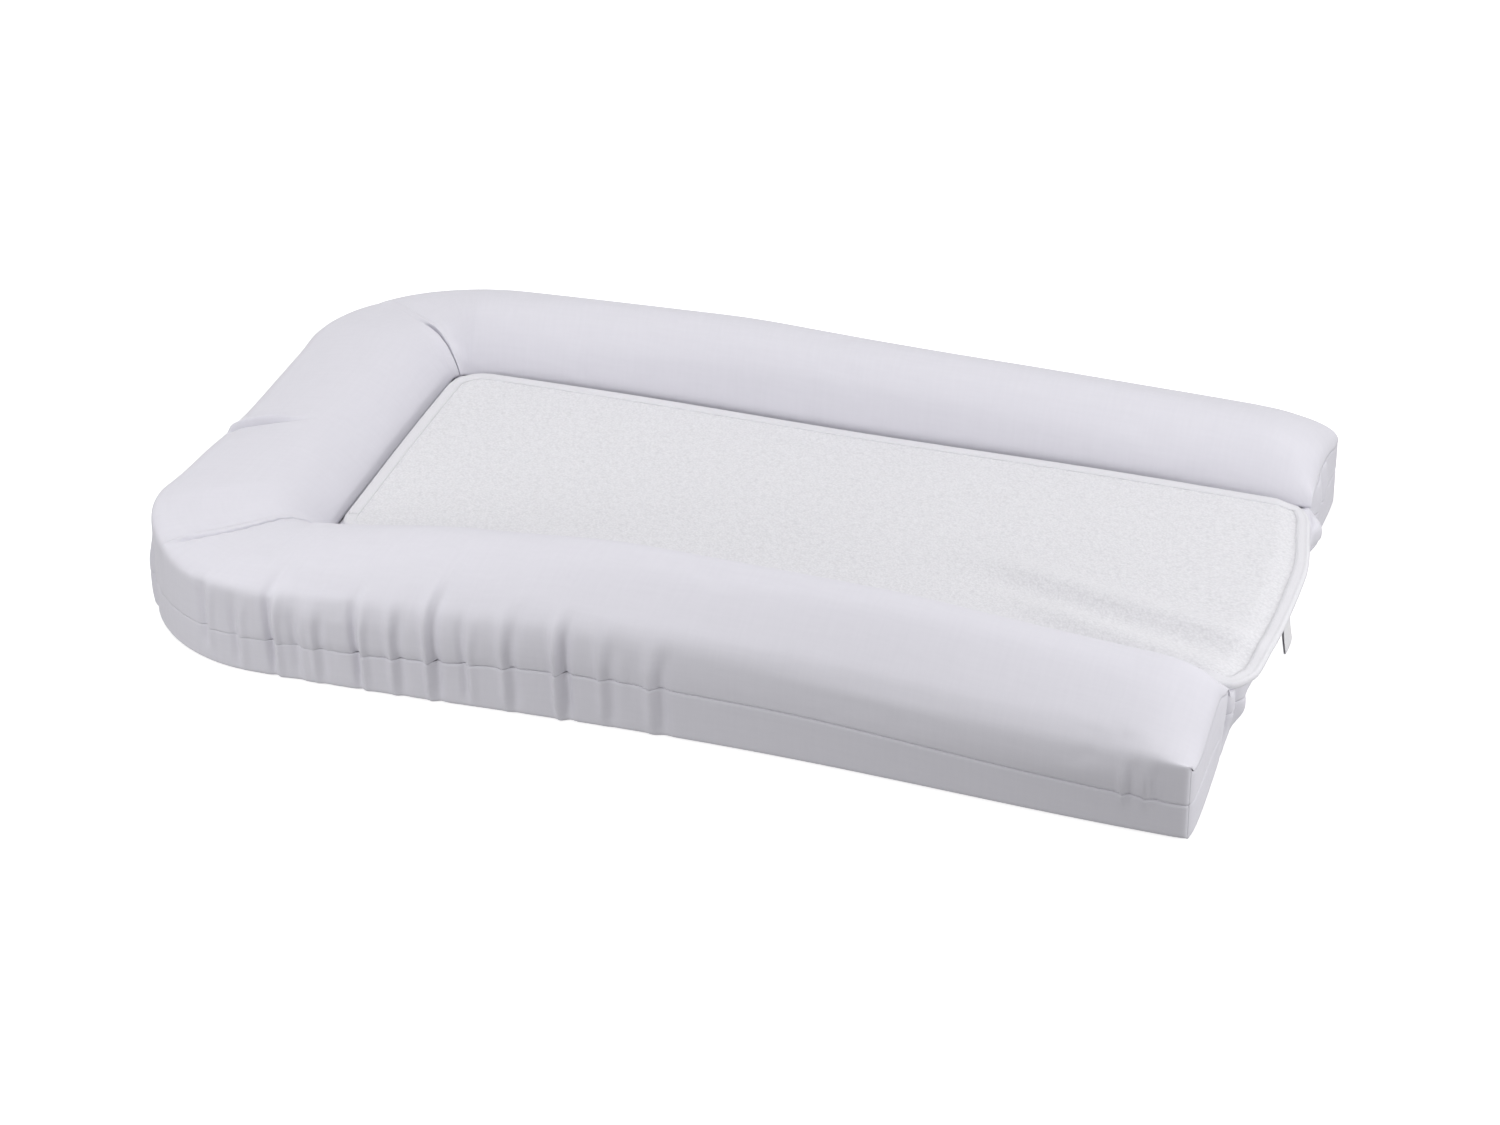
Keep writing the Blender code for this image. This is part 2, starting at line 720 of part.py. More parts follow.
def make_binding():
    """A tape folded over the towel's edge all round: a C-shaped section open inwards."""
    low = TOWEL_BOTTOM - BINDING_GAP - BINDING_CLOTH
    high = TOWEL_TOP + BINDING_GAP + BINDING_CLOTH
    section = [
        (0.0, low),
        (0.0, high),
        (BINDING_WIDTH, high),
        (BINDING_WIDTH, high - BINDING_CLOTH),
        (BINDING_CLOTH, high - BINDING_CLOTH),
        (BINDING_CLOTH, low + BINDING_CLOTH),
        (BINDING_WIDTH, low + BINDING_CLOTH),
        (BINDING_WIDTH, low),
    ]
    rings = [[(x, y, z) for x, y in towel_outline(inset)] for inset, z in section]
    sections = [list(row) for row in zip(*rings)]
    mesh = loft_mesh("towel_binding", sections, close_path=True)
    add_object("towel_binding", mesh, "binding")


def make_patches():
    """Hook patches on the cover, each facing a loop patch under the towel's corner."""
    head, foot, half = towel_box()
    corners = {
        "near_head": (head + PATCH_INSET, PATCH_INSET - half),
        "far_head": (head + PATCH_INSET, half - PATCH_INSET),
        "near_foot": (foot - PATCH_INSET, PATCH_INSET - half),
        "far_foot": (foot - PATCH_INSET, half - PATCH_INSET),
    }
    reach = PATCH_SIZE / 2
    layers = {"hook_patch": (HOOK_BOTTOM, HOOK_TOP), "loop_patch": (LOOP_BOTTOM, LOOP_TOP)}
    for corner, (x, y) in corners.items():
        for kind, (low, high) in layers.items():
            mesh = box_mesh(f"{kind}_{corner}", (x - reach, y - reach, low), (x + reach, y + reach, high))
            add_object(mesh.name, mesh, "hook_and_loop")


clear_scene()
PARTS = new_collection("changing_pad")
CUTTERS = new_collection("cutters")
CUTTERS.hide_render = True
MATERIALS = make_materials()
PAD_ORIGIN = bpy.data.objects.new("pad_origin", None)
PAD_ORIGIN.location = (-LABEL_REACH / 2, 0.0, 0.0)
PARTS.objects.link(PAD_ORIGIN)

make_foam()
make_liner()
make_zip_tapes()
make_zip_stops()
make_zip_slider()
make_zip_puller()
make_cover_top()
make_cover_foot()
make_cover_band()
make_hem_elastic()
make_care_label()
make_towel()
make_binding()
make_patches()
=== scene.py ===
"""The looks of a baby's changing pad: a fitted cotton cover over foam, and a terry towel.

Everything is in metres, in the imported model's frame: +X is the open foot, -X the closed head, -Y the near
side. The cover is one surface, worked out along the pad's outline and up its section, and cut into panels.
"""

import math
import random

import bpy
import numpy as np
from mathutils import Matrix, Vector


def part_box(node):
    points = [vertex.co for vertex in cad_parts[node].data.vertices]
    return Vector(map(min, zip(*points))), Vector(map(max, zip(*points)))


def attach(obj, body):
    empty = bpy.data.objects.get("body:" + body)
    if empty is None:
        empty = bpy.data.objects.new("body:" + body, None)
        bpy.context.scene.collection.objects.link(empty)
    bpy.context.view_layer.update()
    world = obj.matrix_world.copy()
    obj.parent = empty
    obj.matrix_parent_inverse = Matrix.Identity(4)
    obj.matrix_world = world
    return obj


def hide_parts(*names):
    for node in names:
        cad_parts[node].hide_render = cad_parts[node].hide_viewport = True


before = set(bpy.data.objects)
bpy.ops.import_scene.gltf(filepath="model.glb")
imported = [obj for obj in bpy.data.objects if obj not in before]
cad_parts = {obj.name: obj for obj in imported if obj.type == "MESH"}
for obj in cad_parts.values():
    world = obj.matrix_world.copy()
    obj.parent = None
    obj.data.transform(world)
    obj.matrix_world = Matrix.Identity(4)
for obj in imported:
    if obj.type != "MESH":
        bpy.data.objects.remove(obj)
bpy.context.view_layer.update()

# The pad's plan, from the frame
FOOT_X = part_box("cover_foot_panel")[1].x
HEAD_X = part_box("cover_head_band")[0].x
HALF_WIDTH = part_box("cover_far_band")[1].y
LYING_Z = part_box("cover_centre_panel")[1].z
CORNER_RADIUS = 0.112
INNER_RADIUS = 0.012
SIDE_WIDTH = 0.110
HEAD_WIDTH = 0.126
WAIST = 0.012

# Section of a bolster
RIDGE_SHARE = 0.69
SLOPE_POWER = 2.13
SHOULDER_ROUND = 4
END_ROUND = 0.048
END_DROP = 0.023
FOOT_BULGE = 0.012
FOOT_BULGE_HALF = 0.134
FOOT_TUCK = 0.005
FOOT_CORNER = 0.003
FOOT_CORNER_REACH = 0.004

# Cloth
CLOTH = 0.0008
STEP = 0.002
TOP_ROWS = 92
BAND_ROWS = 22
HEM_RADIUS = 0.004
HEM_REACH = 0.036
WALL_MIDDLE = 0.045
SEAM_DEPTH = 0.0009
SEAM_HALF_WIDTH = 0.0009
MITRE_DEPTH = 0.0048
MITRE_HALF_WIDTH = 0.0022
LINER_INSET = 0.0068
FOAM_INSET = 0.0098
HEM_RIPPLE = 0.00012
ZIP_GROOVE_HALF = 0.0055
ZIP_GROOVE_TOP = 0.0086

# Stuffing: a coarse copy of the cover is inflated as cloth
STUFF_FRAMES = 20
STUFF_PRESSURE = 4.0
STUFF_SLACK = -0.001
STUFF_LIMIT = 0.0022
STUFF_START = 0.0008

# Distances along the outline, from the near foot corner
SIDE_RUN = FOOT_X - HEAD_X - CORNER_RADIUS
CORNER_RUN = 0.5 * math.pi * CORNER_RADIUS
HEAD_RUN = 2.0 * (HALF_WIDTH - CORNER_RADIUS)
NEAR_MITRE = SIDE_RUN + 0.5 * CORNER_RUN
FAR_MITRE = NEAR_MITRE + CORNER_RUN + HEAD_RUN
WHOLE_RUN = 2.0 * (SIDE_RUN + CORNER_RUN) + HEAD_RUN
HEAD_FOLD = SIDE_RUN + CORNER_RUN + 0.108


# -------- curves and grids


def bump(x, centre, half_width):
    return np.exp(-(((x - centre) / half_width) ** 2))


def fade(x, start, end):
    """0 at start, 1 at end, smooth in between."""
    t = np.clip((x - start) / (end - start), 0.0, 1.0)
    return t * t * (3.0 - 2.0 * t)


def smooth_curve(points, x, spread):
    """The line through the points, rounded off over the spread."""
    xs, ys = zip(*points)
    taps = np.linspace(-1.0, 1.0, 13)
    weights = np.cos(0.5 * math.pi * taps) ** 2 + 0.02
    lines = [w * np.interp(x + tap * spread, xs, ys) for tap, w in zip(taps, weights)]
    return sum(lines) / weights.sum()


def bolster_height(run):
    """The ridge's height: both sides arch, and the head is lower."""
    far_foot = WHOLE_RUN
    points = [
        (-0.05, 0.087), (0.06, 0.097), (0.23, 0.111), (0.45, 0.115), (0.58, 0.103), (SIDE_RUN, 0.084),
        (NEAR_MITRE, 0.081), (NEAR_MITRE + 0.05, 0.086), (0.5 * WHOLE_RUN, 0.083), (FAR_MITRE, 0.080),
        (far_foot - SIDE_RUN, 0.094), (far_foot - 0.46, 0.109), (far_foot - 0.23, 0.103),
        (far_foot - 0.06, 0.094), (far_foot + 0.05, 0.086),
    ]
    return smooth_curve(points, run, 0.05)


def shoulder_height(run):
    """Where the upright wall turns over into the top."""
    far_foot = WHOLE_RUN
    points = [
        (-0.05, 0.063), (0.07, 0.062), (0.21, 0.062), (0.35, 0.071), (0.46, 0.076), (0.58, 0.074),
        (SIDE_RUN, 0.070), (NEAR_MITRE - 0.02, 0.069), (NEAR_MITRE + 0.03, 0.084),
        (NEAR_MITRE + 0.08, 0.078), (NEAR_MITRE + CORNER_RUN, 0.068), (0.5 * WHOLE_RUN, 0.062),
        (FAR_MITRE, 0.060), (far_foot - 0.46, 0.074), (far_foot - 0.20, 0.070),
        (far_foot + 0.05, 0.064),
    ]
    return smooth_curve(points, run, 0.05)


def dome_power(run):
    """How rounded the top is between the wall and the ridge: the near side's is nearly straight."""
    return 1.45 + 0.55 * fade(run, 0.42, 0.62)


def seam_height(run):
    """The side seam droops towards both ends of each side."""
    points = [
        (-0.05, 0.026), (0.13, 0.031), (0.28, 0.038), (0.46, 0.040), (0.60, 0.030), (NEAR_MITRE, 0.029),
        (FAR_MITRE, 0.029), (WHOLE_RUN - 0.60, 0.031), (WHOLE_RUN - 0.45, 0.039),
        (WHOLE_RUN + 0.05, 0.027),
    ]
    return smooth_curve(points, run, 0.06)


def outline_runs():
    """Distances along the outline, closer together at the foot ends, the gathers and the creases."""
    turn = np.radians(np.linspace(90.0, 0.0, 20))
    rolled = END_ROUND * (1.0 - np.sin(turn))
    fine = 0.4 * STEP
    stops = [
        (END_ROUND, STEP),
        (0.37, 0.6 * STEP),
        (0.74, STEP),
        (NEAR_MITRE - 0.014, fine),
        (NEAR_MITRE, fine),
        (NEAR_MITRE + 0.014, STEP),
        (HEAD_FOLD - 0.018, fine),
        (HEAD_FOLD + 0.018, STEP),
        (FAR_MITRE - 0.020, fine),
        (FAR_MITRE, fine),
        (FAR_MITRE + 0.014, STEP),
        (WHOLE_RUN - END_ROUND, STEP),
    ]
    spans = [rolled[:-1]]
    for (start, step), (end, _) in zip(stops, stops[1:]):
        spans.append(np.linspace(start, end, math.ceil((end - start) / step), endpoint=False))
    spans.append(WHOLE_RUN - rolled[::-1])
    return np.concatenate(spans)


def outline_points(run):
    """Outer and inner plan points for distances along the outline."""
    far = run > 0.5 * WHOLE_RUN
    near_run = np.where(far, WHOLE_RUN - run, run)
    share = np.clip(near_run / SIDE_RUN, 0.0, 1.0)
    turn = np.clip((near_run - SIDE_RUN) / CORNER_RUN, 0.0, 1.0) * 0.5 * math.pi
    head = np.clip((near_run - SIDE_RUN - CORNER_RUN) / (0.5 * HEAD_RUN), 0.0, 1.0)

    outer_y = HALF_WIDTH - WAIST * np.sin(math.pi * share) ** 2
    inner_y = HALF_WIDTH - SIDE_WIDTH
    inner_end = HEAD_X + HEAD_WIDTH + INNER_RADIUS
    outer_x = FOOT_X - SIDE_RUN * share - CORNER_RADIUS * np.sin(turn)
    inner_x = FOOT_X + (inner_end - FOOT_X) * share - INNER_RADIUS * np.sin(turn)
    outer_y = outer_y - CORNER_RADIUS * (1.0 - np.cos(turn))
    inner_y = inner_y - INNER_RADIUS * (1.0 - np.cos(turn))
    outer_y = outer_y * (1.0 - head)
    inner_y = inner_y * (1.0 - head)
    side = np.where(far, 1.0, -1.0)
    return np.stack([outer_x, side * outer_y], -1), np.stack([inner_x, side * inner_y], -1)


def section_rows(height, width, shoulder, power, seam_z):
    """Depth in from the wall and height, for each column and each row of the section."""
    share = np.linspace(0.0, 1.0, 60)
    spacing = np.concatenate([[0.0, 0.004, 0.008, 0.013], np.linspace(0.022, 1.0, TOP_ROWS - 4)])
    depths = np.zeros((len(height), TOP_ROWS))
    levels = np.zeros((len(height), TOP_ROWS))
    for i, (high, wide, turn, bend, low) in enumerate(zip(height, width, shoulder, power, seam_z)):
        ridge = RIDGE_SHARE * wide
        depth = np.concatenate([0.0 * share, ridge * share, ridge + (wide - ridge) * share])
        wall = low + (turn - low) * share
        dome = high - (high - turn) * (1.0 - share) ** bend
        slope = high - (high - LYING_Z) * share**SLOPE_POWER
        level = np.concatenate([wall, dome, slope])
        along = np.concatenate([[0.0], np.cumsum(np.hypot(np.diff(depth), np.diff(level)))])
        depths[i] = np.interp(along[-1] * spacing, along, depth)
        levels[i] = np.interp(along[-1] * spacing, along, level)
    return round_off(depths), round_off(levels)


def round_off(rows):
    """A moving average up the section, which turns the wall into the top. The two ends stay put."""
    reach = SHOULDER_ROUND
    first = 2.0 * rows[:, :1] - rows[:, reach:0:-1]
    last = 2.0 * rows[:, -1:] - rows[:, -2 : -reach - 2 : -1]
    padded = np.concatenate([first, rows, last], 1)
    weights = np.cos(np.linspace(-0.5, 0.5, 2 * reach + 3)[1:-1] * math.pi)
    count = rows.shape[1]
    total = sum(w * padded[:, i : i + count] for i, w in enumerate(weights)) / weights.sum()
    held = fade(np.arange(count), 1.0, 2.0 * reach)[None]
    return rows + (total - rows) * held


def grid_normals(grid):
    along = np.gradient(grid, axis=0)
    across = np.gradient(grid, axis=1)
    normal = np.cross(along, across)
    length = np.linalg.norm(normal, axis=2, keepdims=True)
    return normal / np.maximum(length, 1e-12)


def run_lengths(points, axis):
    """Distance along a grid's rows or columns, for cloth coordinates in metres."""
    steps = np.linalg.norm(np.diff(points, axis=axis), axis=2)
    pad = [(0, 0), (0, 0)]
    pad[axis] = (1, 0)
    return np.cumsum(np.pad(steps, pad), axis=axis)


def mesh_object(name, points, faces, material):
    mesh = bpy.data.meshes.new(name)
    mesh.from_pydata(points, [], faces)
    mesh.shade_smooth()
    mesh.materials.append(material)
    obj = bpy.data.objects.new(name, mesh)
    bpy.context.scene.collection.objects.link(obj)
    return obj


def grid_object(name, grid, cloth_u, cloth_v, material, flip=False):
    """A mesh of quads through a grid of points, with its cloth coordinates in metres."""
    columns, rows = grid.shape[:2]
    index = np.arange(columns * rows).reshape(columns, rows)
    corners = [index[:-1, :-1], index[1:, :-1], index[1:, 1:], index[:-1, 1:]]
    if flip:
        corners.reverse()
    faces = np.stack([c.ravel() for c in corners], -1)
    obj = mesh_object(name, grid.reshape(-1, 3).tolist(), faces.tolist(), material)
    layer = obj.data.uv_layers.new(name="cloth")
    cloth = np.stack([cloth_u.ravel(), cloth_v.ravel()], -1)
    layer.data.foreach_set("uv", cloth[faces.ravel()].astype(np.float32).ravel())
    return obj


def thicken(obj, thickness):
    modifier = obj.modifiers.new("cloth", "SOLIDIFY")
    modifier.thickness = thickness
    modifier.offset = -1.0


def finish_piece(obj, body, slot, *nodes):
    """Parents the piece to its body's empty and hides the nodes that it stands in for. The slot argument is
    not used.
    """
    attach(obj, body)
    if nodes:
        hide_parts(*nodes)
    return obj


# -------- folds in the cover


def make_gathers():
    """Gathers in the side: (run, half width, ridge, low, high). A negative ridge is a valley."""
    near = [
        (0.725, 0.0045, -0.0024, 0.020, 0.082),
        (0.699, 0.0045, -0.0022, 0.008, 0.070),
        (0.671, 0.0040, -0.0034, 0.000, 0.090),
        (0.652, 0.0050, -0.0020, 0.000, 0.074),
        (0.638, 0.0045, 0.0020, 0.000, 0.074),
        (0.606, 0.0040, -0.0036, 0.000, 0.088),
        (0.579, 0.0045, 0.0026, 0.000, 0.086),
        (0.552, 0.0042, 0.0038, 0.000, 0.104),
        (0.526, 0.0040, -0.0022, 0.010, 0.086),
        (0.496, 0.0048, 0.0028, 0.004, 0.094),
        (0.457, 0.0044, 0.0048, 0.000, 0.094),
        (0.425, 0.0052, 0.0022, 0.006, 0.086),
        (0.389, 0.0060, 0.0034, 0.000, 0.080),
        (0.049, 0.0036, 0.0022, 0.026, 0.062),
        (0.032, 0.0036, 0.0026, 0.026, 0.062),
    ]
    draw = random.Random(11)
    hidden = []
    run = NEAR_MITRE + 0.04
    while run < WHOLE_RUN - 0.03:
        crowd = 1.0 if run < FAR_MITRE + 0.30 else 2.2
        ridge = draw.choice((1.0, 1.0, -1.0)) * draw.uniform(0.0012, 0.0034)
        top = draw.uniform(0.044, 0.066)
        hidden.append((run, draw.uniform(0.0036, 0.0055), ridge, 0.0, top))
        run += draw.uniform(0.018, 0.042) * crowd
    return near + hidden


GATHERS = make_gathers()


def gather_shift(run, z):
    """How far the gathers push the cloth out, at distances along the outline and heights."""
    shift = np.zeros(np.broadcast(run, z).shape)
    for centre, half, ridge, low, high in GATHERS:
        lean = centre + 0.05 * (z - 0.04)
        width = half * (0.72 + 0.45 * fade(z, 0.04, high))
        across = bump(run, lean, width) - 0.7 * bump(run, lean - 1.8 * width, 1.1 * width)
        up = fade(z, low - 0.012, low + 0.006) * (1.0 - fade(z, 0.6 * high, high))
        up = up * (0.45 + 0.55 * fade(z, 0.0, 0.018))
        shift += 1.15 * ridge * across * up
    return shift


def seam_puckers(run, z, seam_z):
    """Fine puckers that the side seam draws up, strongest where the cover is gathered."""
    amount = 0.35 + 0.65 * fade(run, 0.34, 0.42)
    wave = np.sin(run * 420.0 + 2.0 * np.sin(run * 61.0)) * (0.6 + 0.4 * np.sin(run * 143.0))
    return 0.00032 * amount * wave * bump(z, seam_z, 0.011)


def mitre_shift(run, depth_share):
    """Creases across the two head corners. Only the near one goes far out."""
    shift = np.zeros(np.broadcast(run, depth_share).shape)
    for mitre, start in ((NEAR_MITRE, 0.04), (FAR_MITRE, 0.50)):
        bend = mitre - 0.010 * np.sin(math.pi * depth_share)
        strength = fade(depth_share, start, start + 0.16) * (1.0 - 0.3 * fade(depth_share, 0.8, 1.0))
        crease = bump(run, bend, MITRE_HALF_WIDTH) - 0.22 * bump(run, bend, 0.020)
        dip = bump(run, mitre, 0.055) * fade(depth_share, 0.05, 0.5) * (1.0 - fade(depth_share, 0.75, 1.0))
        tucks = np.sin(depth_share * 70.0) * bump(run, bend, 0.009)
        shift -= strength * (MITRE_DEPTH * crease + 0.0004 * tucks) + 0.0040 * dip
    return shift


def soft_shift(run, depth_share):
    """The fold over the head bolster's outer edge, and the dimple beside the near mitre."""
    slant = HEAD_FOLD + 0.008 * (depth_share - 0.2)
    fold_on = fade(depth_share, 0.00, 0.05) * (1.0 - fade(depth_share, 0.22, 0.60))
    fold = 0.0034 * bump(run, slant, 0.0026) - 0.0058 * bump(run, slant - 0.0042, 0.0018)
    notch = -0.0024 * bump(run, slant - 0.012, 0.014)
    dimple = -0.0028 * bump(run, NEAR_MITRE - 0.075, 0.016) * bump(depth_share, 0.40, 0.13)
    return fold_on * (fold + notch) + dimple


# -------- cover pieces


RUN = outline_runs()
NEAR_COLUMN = int(np.argmin(np.abs(RUN - NEAR_MITRE)))
FAR_COLUMN = int(np.argmin(np.abs(RUN - FAR_MITRE)))
OUTER, INNER = outline_points(RUN)
WIDTH = np.linalg.norm(INNER - OUTER, axis=1)
INWARD = (INNER - OUTER) / WIDTH[:, None]
SEAM_Z = seam_height(RUN)


def spread_out(values, columns, rows, shape):
    """Values known at some columns and rows, carried over smoothly to the whole grid."""
    all_columns, all_rows = np.arange(shape[0]), np.arange(shape[1])
    wide = [[np.interp(all_columns, columns, line) for line in values[..., k].T] for k in range(3)]
    wide = np.array(wide).transpose(2, 1, 0)
    full = [[np.interp(all_rows, rows, line) for line in wide[..., k]] for k in range(3)]
    full = np.array(full).transpose(1, 2, 0)
    for axis in (0, 1):
        for _ in range(4):
            full = 0.5 * full + 0.25 * (np.roll(full, 1, axis) + np.roll(full, -1, axis))
    return full


def stuffing(grid):
    """How far the filling moves the cover, whose seam, mitres and inner edge are sewn down."""
    columns = np.unique(np.append(np.arange(0, grid.shape[0], 4), grid.shape[0] - 1))
    rows = np.unique(np.append(np.arange(0, grid.shape[1], 3), grid.shape[1] - 1))
    coarse = grid[np.ix_(columns, rows)]
    flat = np.zeros(coarse.shape[:2])
    trial = grid_object("stuffing_trial", coarse, flat, flat, None, flip=True)

    index = np.arange(flat.size).reshape(flat.shape)
    sewn = [index[:, 0], index[:, -1], index[0], index[-1]]
    for mitre in (NEAR_COLUMN, FAR_COLUMN):
        sewn.append(index[np.argmin(np.abs(columns - mitre)), len(rows) // 3 :])
    trial.vertex_groups.new(name="sewn").add(np.concatenate(sewn).tolist(), 1.0, "REPLACE")

    cloth = trial.modifiers.new("stuffing", "CLOTH")
    cloth.settings.vertex_group_mass = "sewn"
    cloth.settings.use_pressure = True
    cloth.settings.uniform_pressure_force = STUFF_PRESSURE
    cloth.settings.shrink_min = STUFF_SLACK
    cloth.settings.bending_stiffness = 0.3
    cloth.settings.effector_weights.gravity = 0.0
    cloth.point_cache.frame_end = STUFF_FRAMES
    for number in range(1, STUFF_FRAMES + 1):
        bpy.context.scene.frame_set(number)
    inflated = trial.evaluated_get(bpy.context.evaluated_depsgraph_get())
    places = np.zeros(flat.size * 3, np.float32)
    inflated.data.vertices.foreach_get("co", places)
    bpy.data.objects.remove(trial)
    bpy.context.scene.frame_set(1)

    move = places.reshape(coarse.shape) - coarse
    length = np.linalg.norm(move, axis=2, keepdims=True)
    move *= np.minimum(1.0, STUFF_LIMIT / np.maximum(length, 1e-9))
    move = spread_out(move, columns, rows, grid.shape[:2])
    last = grid.shape[1] - 1
    row = np.arange(grid.shape[1])
    up = fade(row, 0.0, 5.0) * fade(last - row, 0.0, 5.0)
    along = fade(np.minimum(RUN, WHOLE_RUN - RUN), 0.0, 0.07)
    return move * (along[:, None] * up[None])[..., None]


def soften_corners(grid, depth):
    """Rounds off, in plan, the two upright edges where the sides meet the foot end."""
    from_foot = np.minimum(RUN, WHOLE_RUN - RUN)[:, None]
    pull = FOOT_CORNER * np.exp(-(depth + from_foot) / FOOT_CORNER_REACH)
    grid[..., 0] -= pull
    grid[..., 1] -= np.sign(grid[..., 1]) * pull
    return grid


def plain_grid():
    """The cover above its side seam, all the way round, without its folds."""
    depth, level = section_rows(bolster_height(RUN), WIDTH, shoulder_height(RUN), dome_power(RUN), SEAM_Z)
    plan = OUTER[:, None] + INWARD[:, None] * depth[..., None]
    return depth / WIDTH[:, None], np.concatenate([plan, level[..., None]], 2)


def outward(grid):
    return -grid_normals(grid)


def rolled(grid, inset):
    """The two foot ends of the bolsters, rounded over."""
    normal = outward(grid)
    upward = fade(normal[..., 2], 0.05, 0.85) * fade(grid[..., 2], LYING_Z, LYING_Z + 0.03)
    from_foot = np.minimum(RUN, WHOLE_RUN - RUN)
    turn = np.clip(1.0 - from_foot / END_ROUND, 0.0, 1.0)
    drop = END_DROP * (1.0 - np.sqrt(1.0 - turn**2))
    outer_part = 1.0 - fade(np.linspace(0.0, 1.0, grid.shape[1]), 0.5, 0.8)[None]
    outer_far = (RUN > 0.5 * WHOLE_RUN)[:, None] * outer_part * fade(grid[..., 2], 0.040, 0.075)
    grid[..., 2] -= drop[:, None] * np.maximum(upward, 0.8 * outer_far)
    grid[..., 0] = np.minimum(grid[..., 0], (FOOT_X - inset - 0.01 * from_foot)[:, None])
    return grid


def top_grid():
    """The cover above its side seam, stuffed and folded."""
    share, grid = plain_grid()
    held = fade(share, 0.0, 0.2) * (1.0 - fade(share, 0.8, 1.0))
    grid = grid - outward(grid) * (STUFF_START * held)[..., None]
    grid = grid + stuffing(grid)
    level = grid[..., 2]
    run = RUN[:, None]
    shift = gather_shift(run, level) * (1.0 - fade(share, 0.10, 0.40))
    shift += seam_puckers(run, level, SEAM_Z[:, None])
    shift += mitre_shift(run, share) + soft_shift(run, share)
    shift -= seam_groove(run, level) * (share < 0.02)
    return soften_corners(rolled(grid + outward(grid) * shift[..., None], 0.0), share * WIDTH[:, None])


def inset_grid(inset):
    """The same surface without folds, moved into the pad, clear of the creases."""
    share, grid = plain_grid()
    shift = 1.3 * np.minimum(mitre_shift(RUN[:, None], share), 0.0) - inset
    return soften_corners(rolled(grid + outward(grid) * shift[..., None], inset), share * WIDTH[:, None])


def seam_groove(run, z):
    """The side seam's stitched groove, faint round the near head corner."""
    depth = SEAM_DEPTH * (1.0 - 0.6 * fade(run, 0.58, 0.66) * (1.0 - fade(run, 1.0, 1.1)))
    return depth * bump(z, SEAM_Z[:, None], SEAM_HALF_WIDTH)


TOP = top_grid()
PANELS = (
    ("near", 0, NEAR_COLUMN),
    ("head", NEAR_COLUMN, FAR_COLUMN),
    ("far", FAR_COLUMN, len(RUN) - 1),
)


def add_cotton(name, node, grid, cloth_u, material, flip=False):
    obj = grid_object(name, grid, cloth_u, run_lengths(grid, 1), material, flip=flip)
    thicken(obj, CLOTH)
    return finish_piece(obj, "pad", "cotton", node)


def make_cover(material):
    """The panels over the bolsters, and the band below the seam, cut at the two mitres."""
    band = band_grid()
    for side, first, last in PANELS:
        cloth_u = np.repeat(RUN[first : last + 1, None], TOP.shape[1], axis=1)
        top = TOP[first : last + 1]
        panel = add_cotton(f"cover_{side}_top", f"cover_{side}_panel", top, cloth_u, material, flip=True)
        cloth_u = np.repeat(RUN[first : last + 1, None], band.shape[1], axis=1)
        skirt = band[first : last + 1]
        add_cotton(f"cover_{side}_skirt", f"cover_{side}_band", skirt, cloth_u, material)


def band_rows(seam_z):
    """Depth and height down the band, round its turned edge and in under the pad."""
    down = np.linspace(0.0, 1.0, BAND_ROWS) ** 1.4
    turn = np.radians(np.linspace(0.0, 90.0, 6))[1:]
    under = np.linspace(HEM_RADIUS, HEM_REACH, 12)[1:]
    wall_z = seam_z[:, None] + (HEM_RADIUS - seam_z)[:, None] * down[None]
    ones = np.ones((len(seam_z), 1))
    depth = [
        np.zeros(wall_z.shape),
        ones * (HEM_RADIUS * (1.0 - np.cos(turn)))[None],
        ones * under[None],
    ]
    level = [
        wall_z,
        ones * (HEM_RADIUS * (1.0 - np.sin(turn)))[None],
        ones * np.zeros(len(under))[None],
    ]
    return np.concatenate(depth, 1), np.concatenate(level, 1)


def band_grid():
    """The cover below its side seam, all the way round, with its edge turned under."""
    run = RUN[:, None]
    depth, level = band_rows(SEAM_Z)
    shift = gather_shift(run, level) + seam_puckers(run, level, SEAM_Z[:, None])
    shift = shift - seam_groove(run, level)
    on_wall = 1.0 - fade(depth, 0.0, 0.012)
    ripple = 1.0 + np.sin(run * 310.0 + 1.5 * np.sin(run * 47.0))
    level = level + HEM_RIPPLE * (1.0 - on_wall) * ripple
    plan = OUTER[:, None] + INWARD[:, None] * (depth - shift * on_wall)[..., None]
    from_foot = np.minimum(run, WHOLE_RUN - run)
    plan[..., 0] = np.minimum(plan[..., 0], FOOT_X - depth - 0.03 * from_foot)
    return soften_corners(np.concatenate([plan, level[..., None]], 2), depth)


# -------- foot end


def foot_bulge(y):
    """The foot end's share of its bulge: all of it at the middle, none at the bolsters."""
    arch = np.sqrt(np.clip(1.0 - (y / FOOT_BULGE_HALF) ** 2, 0.0, 1.0))
    return arch * fade(FOOT_BULGE_HALF - np.abs(y), 0.0, 0.03)


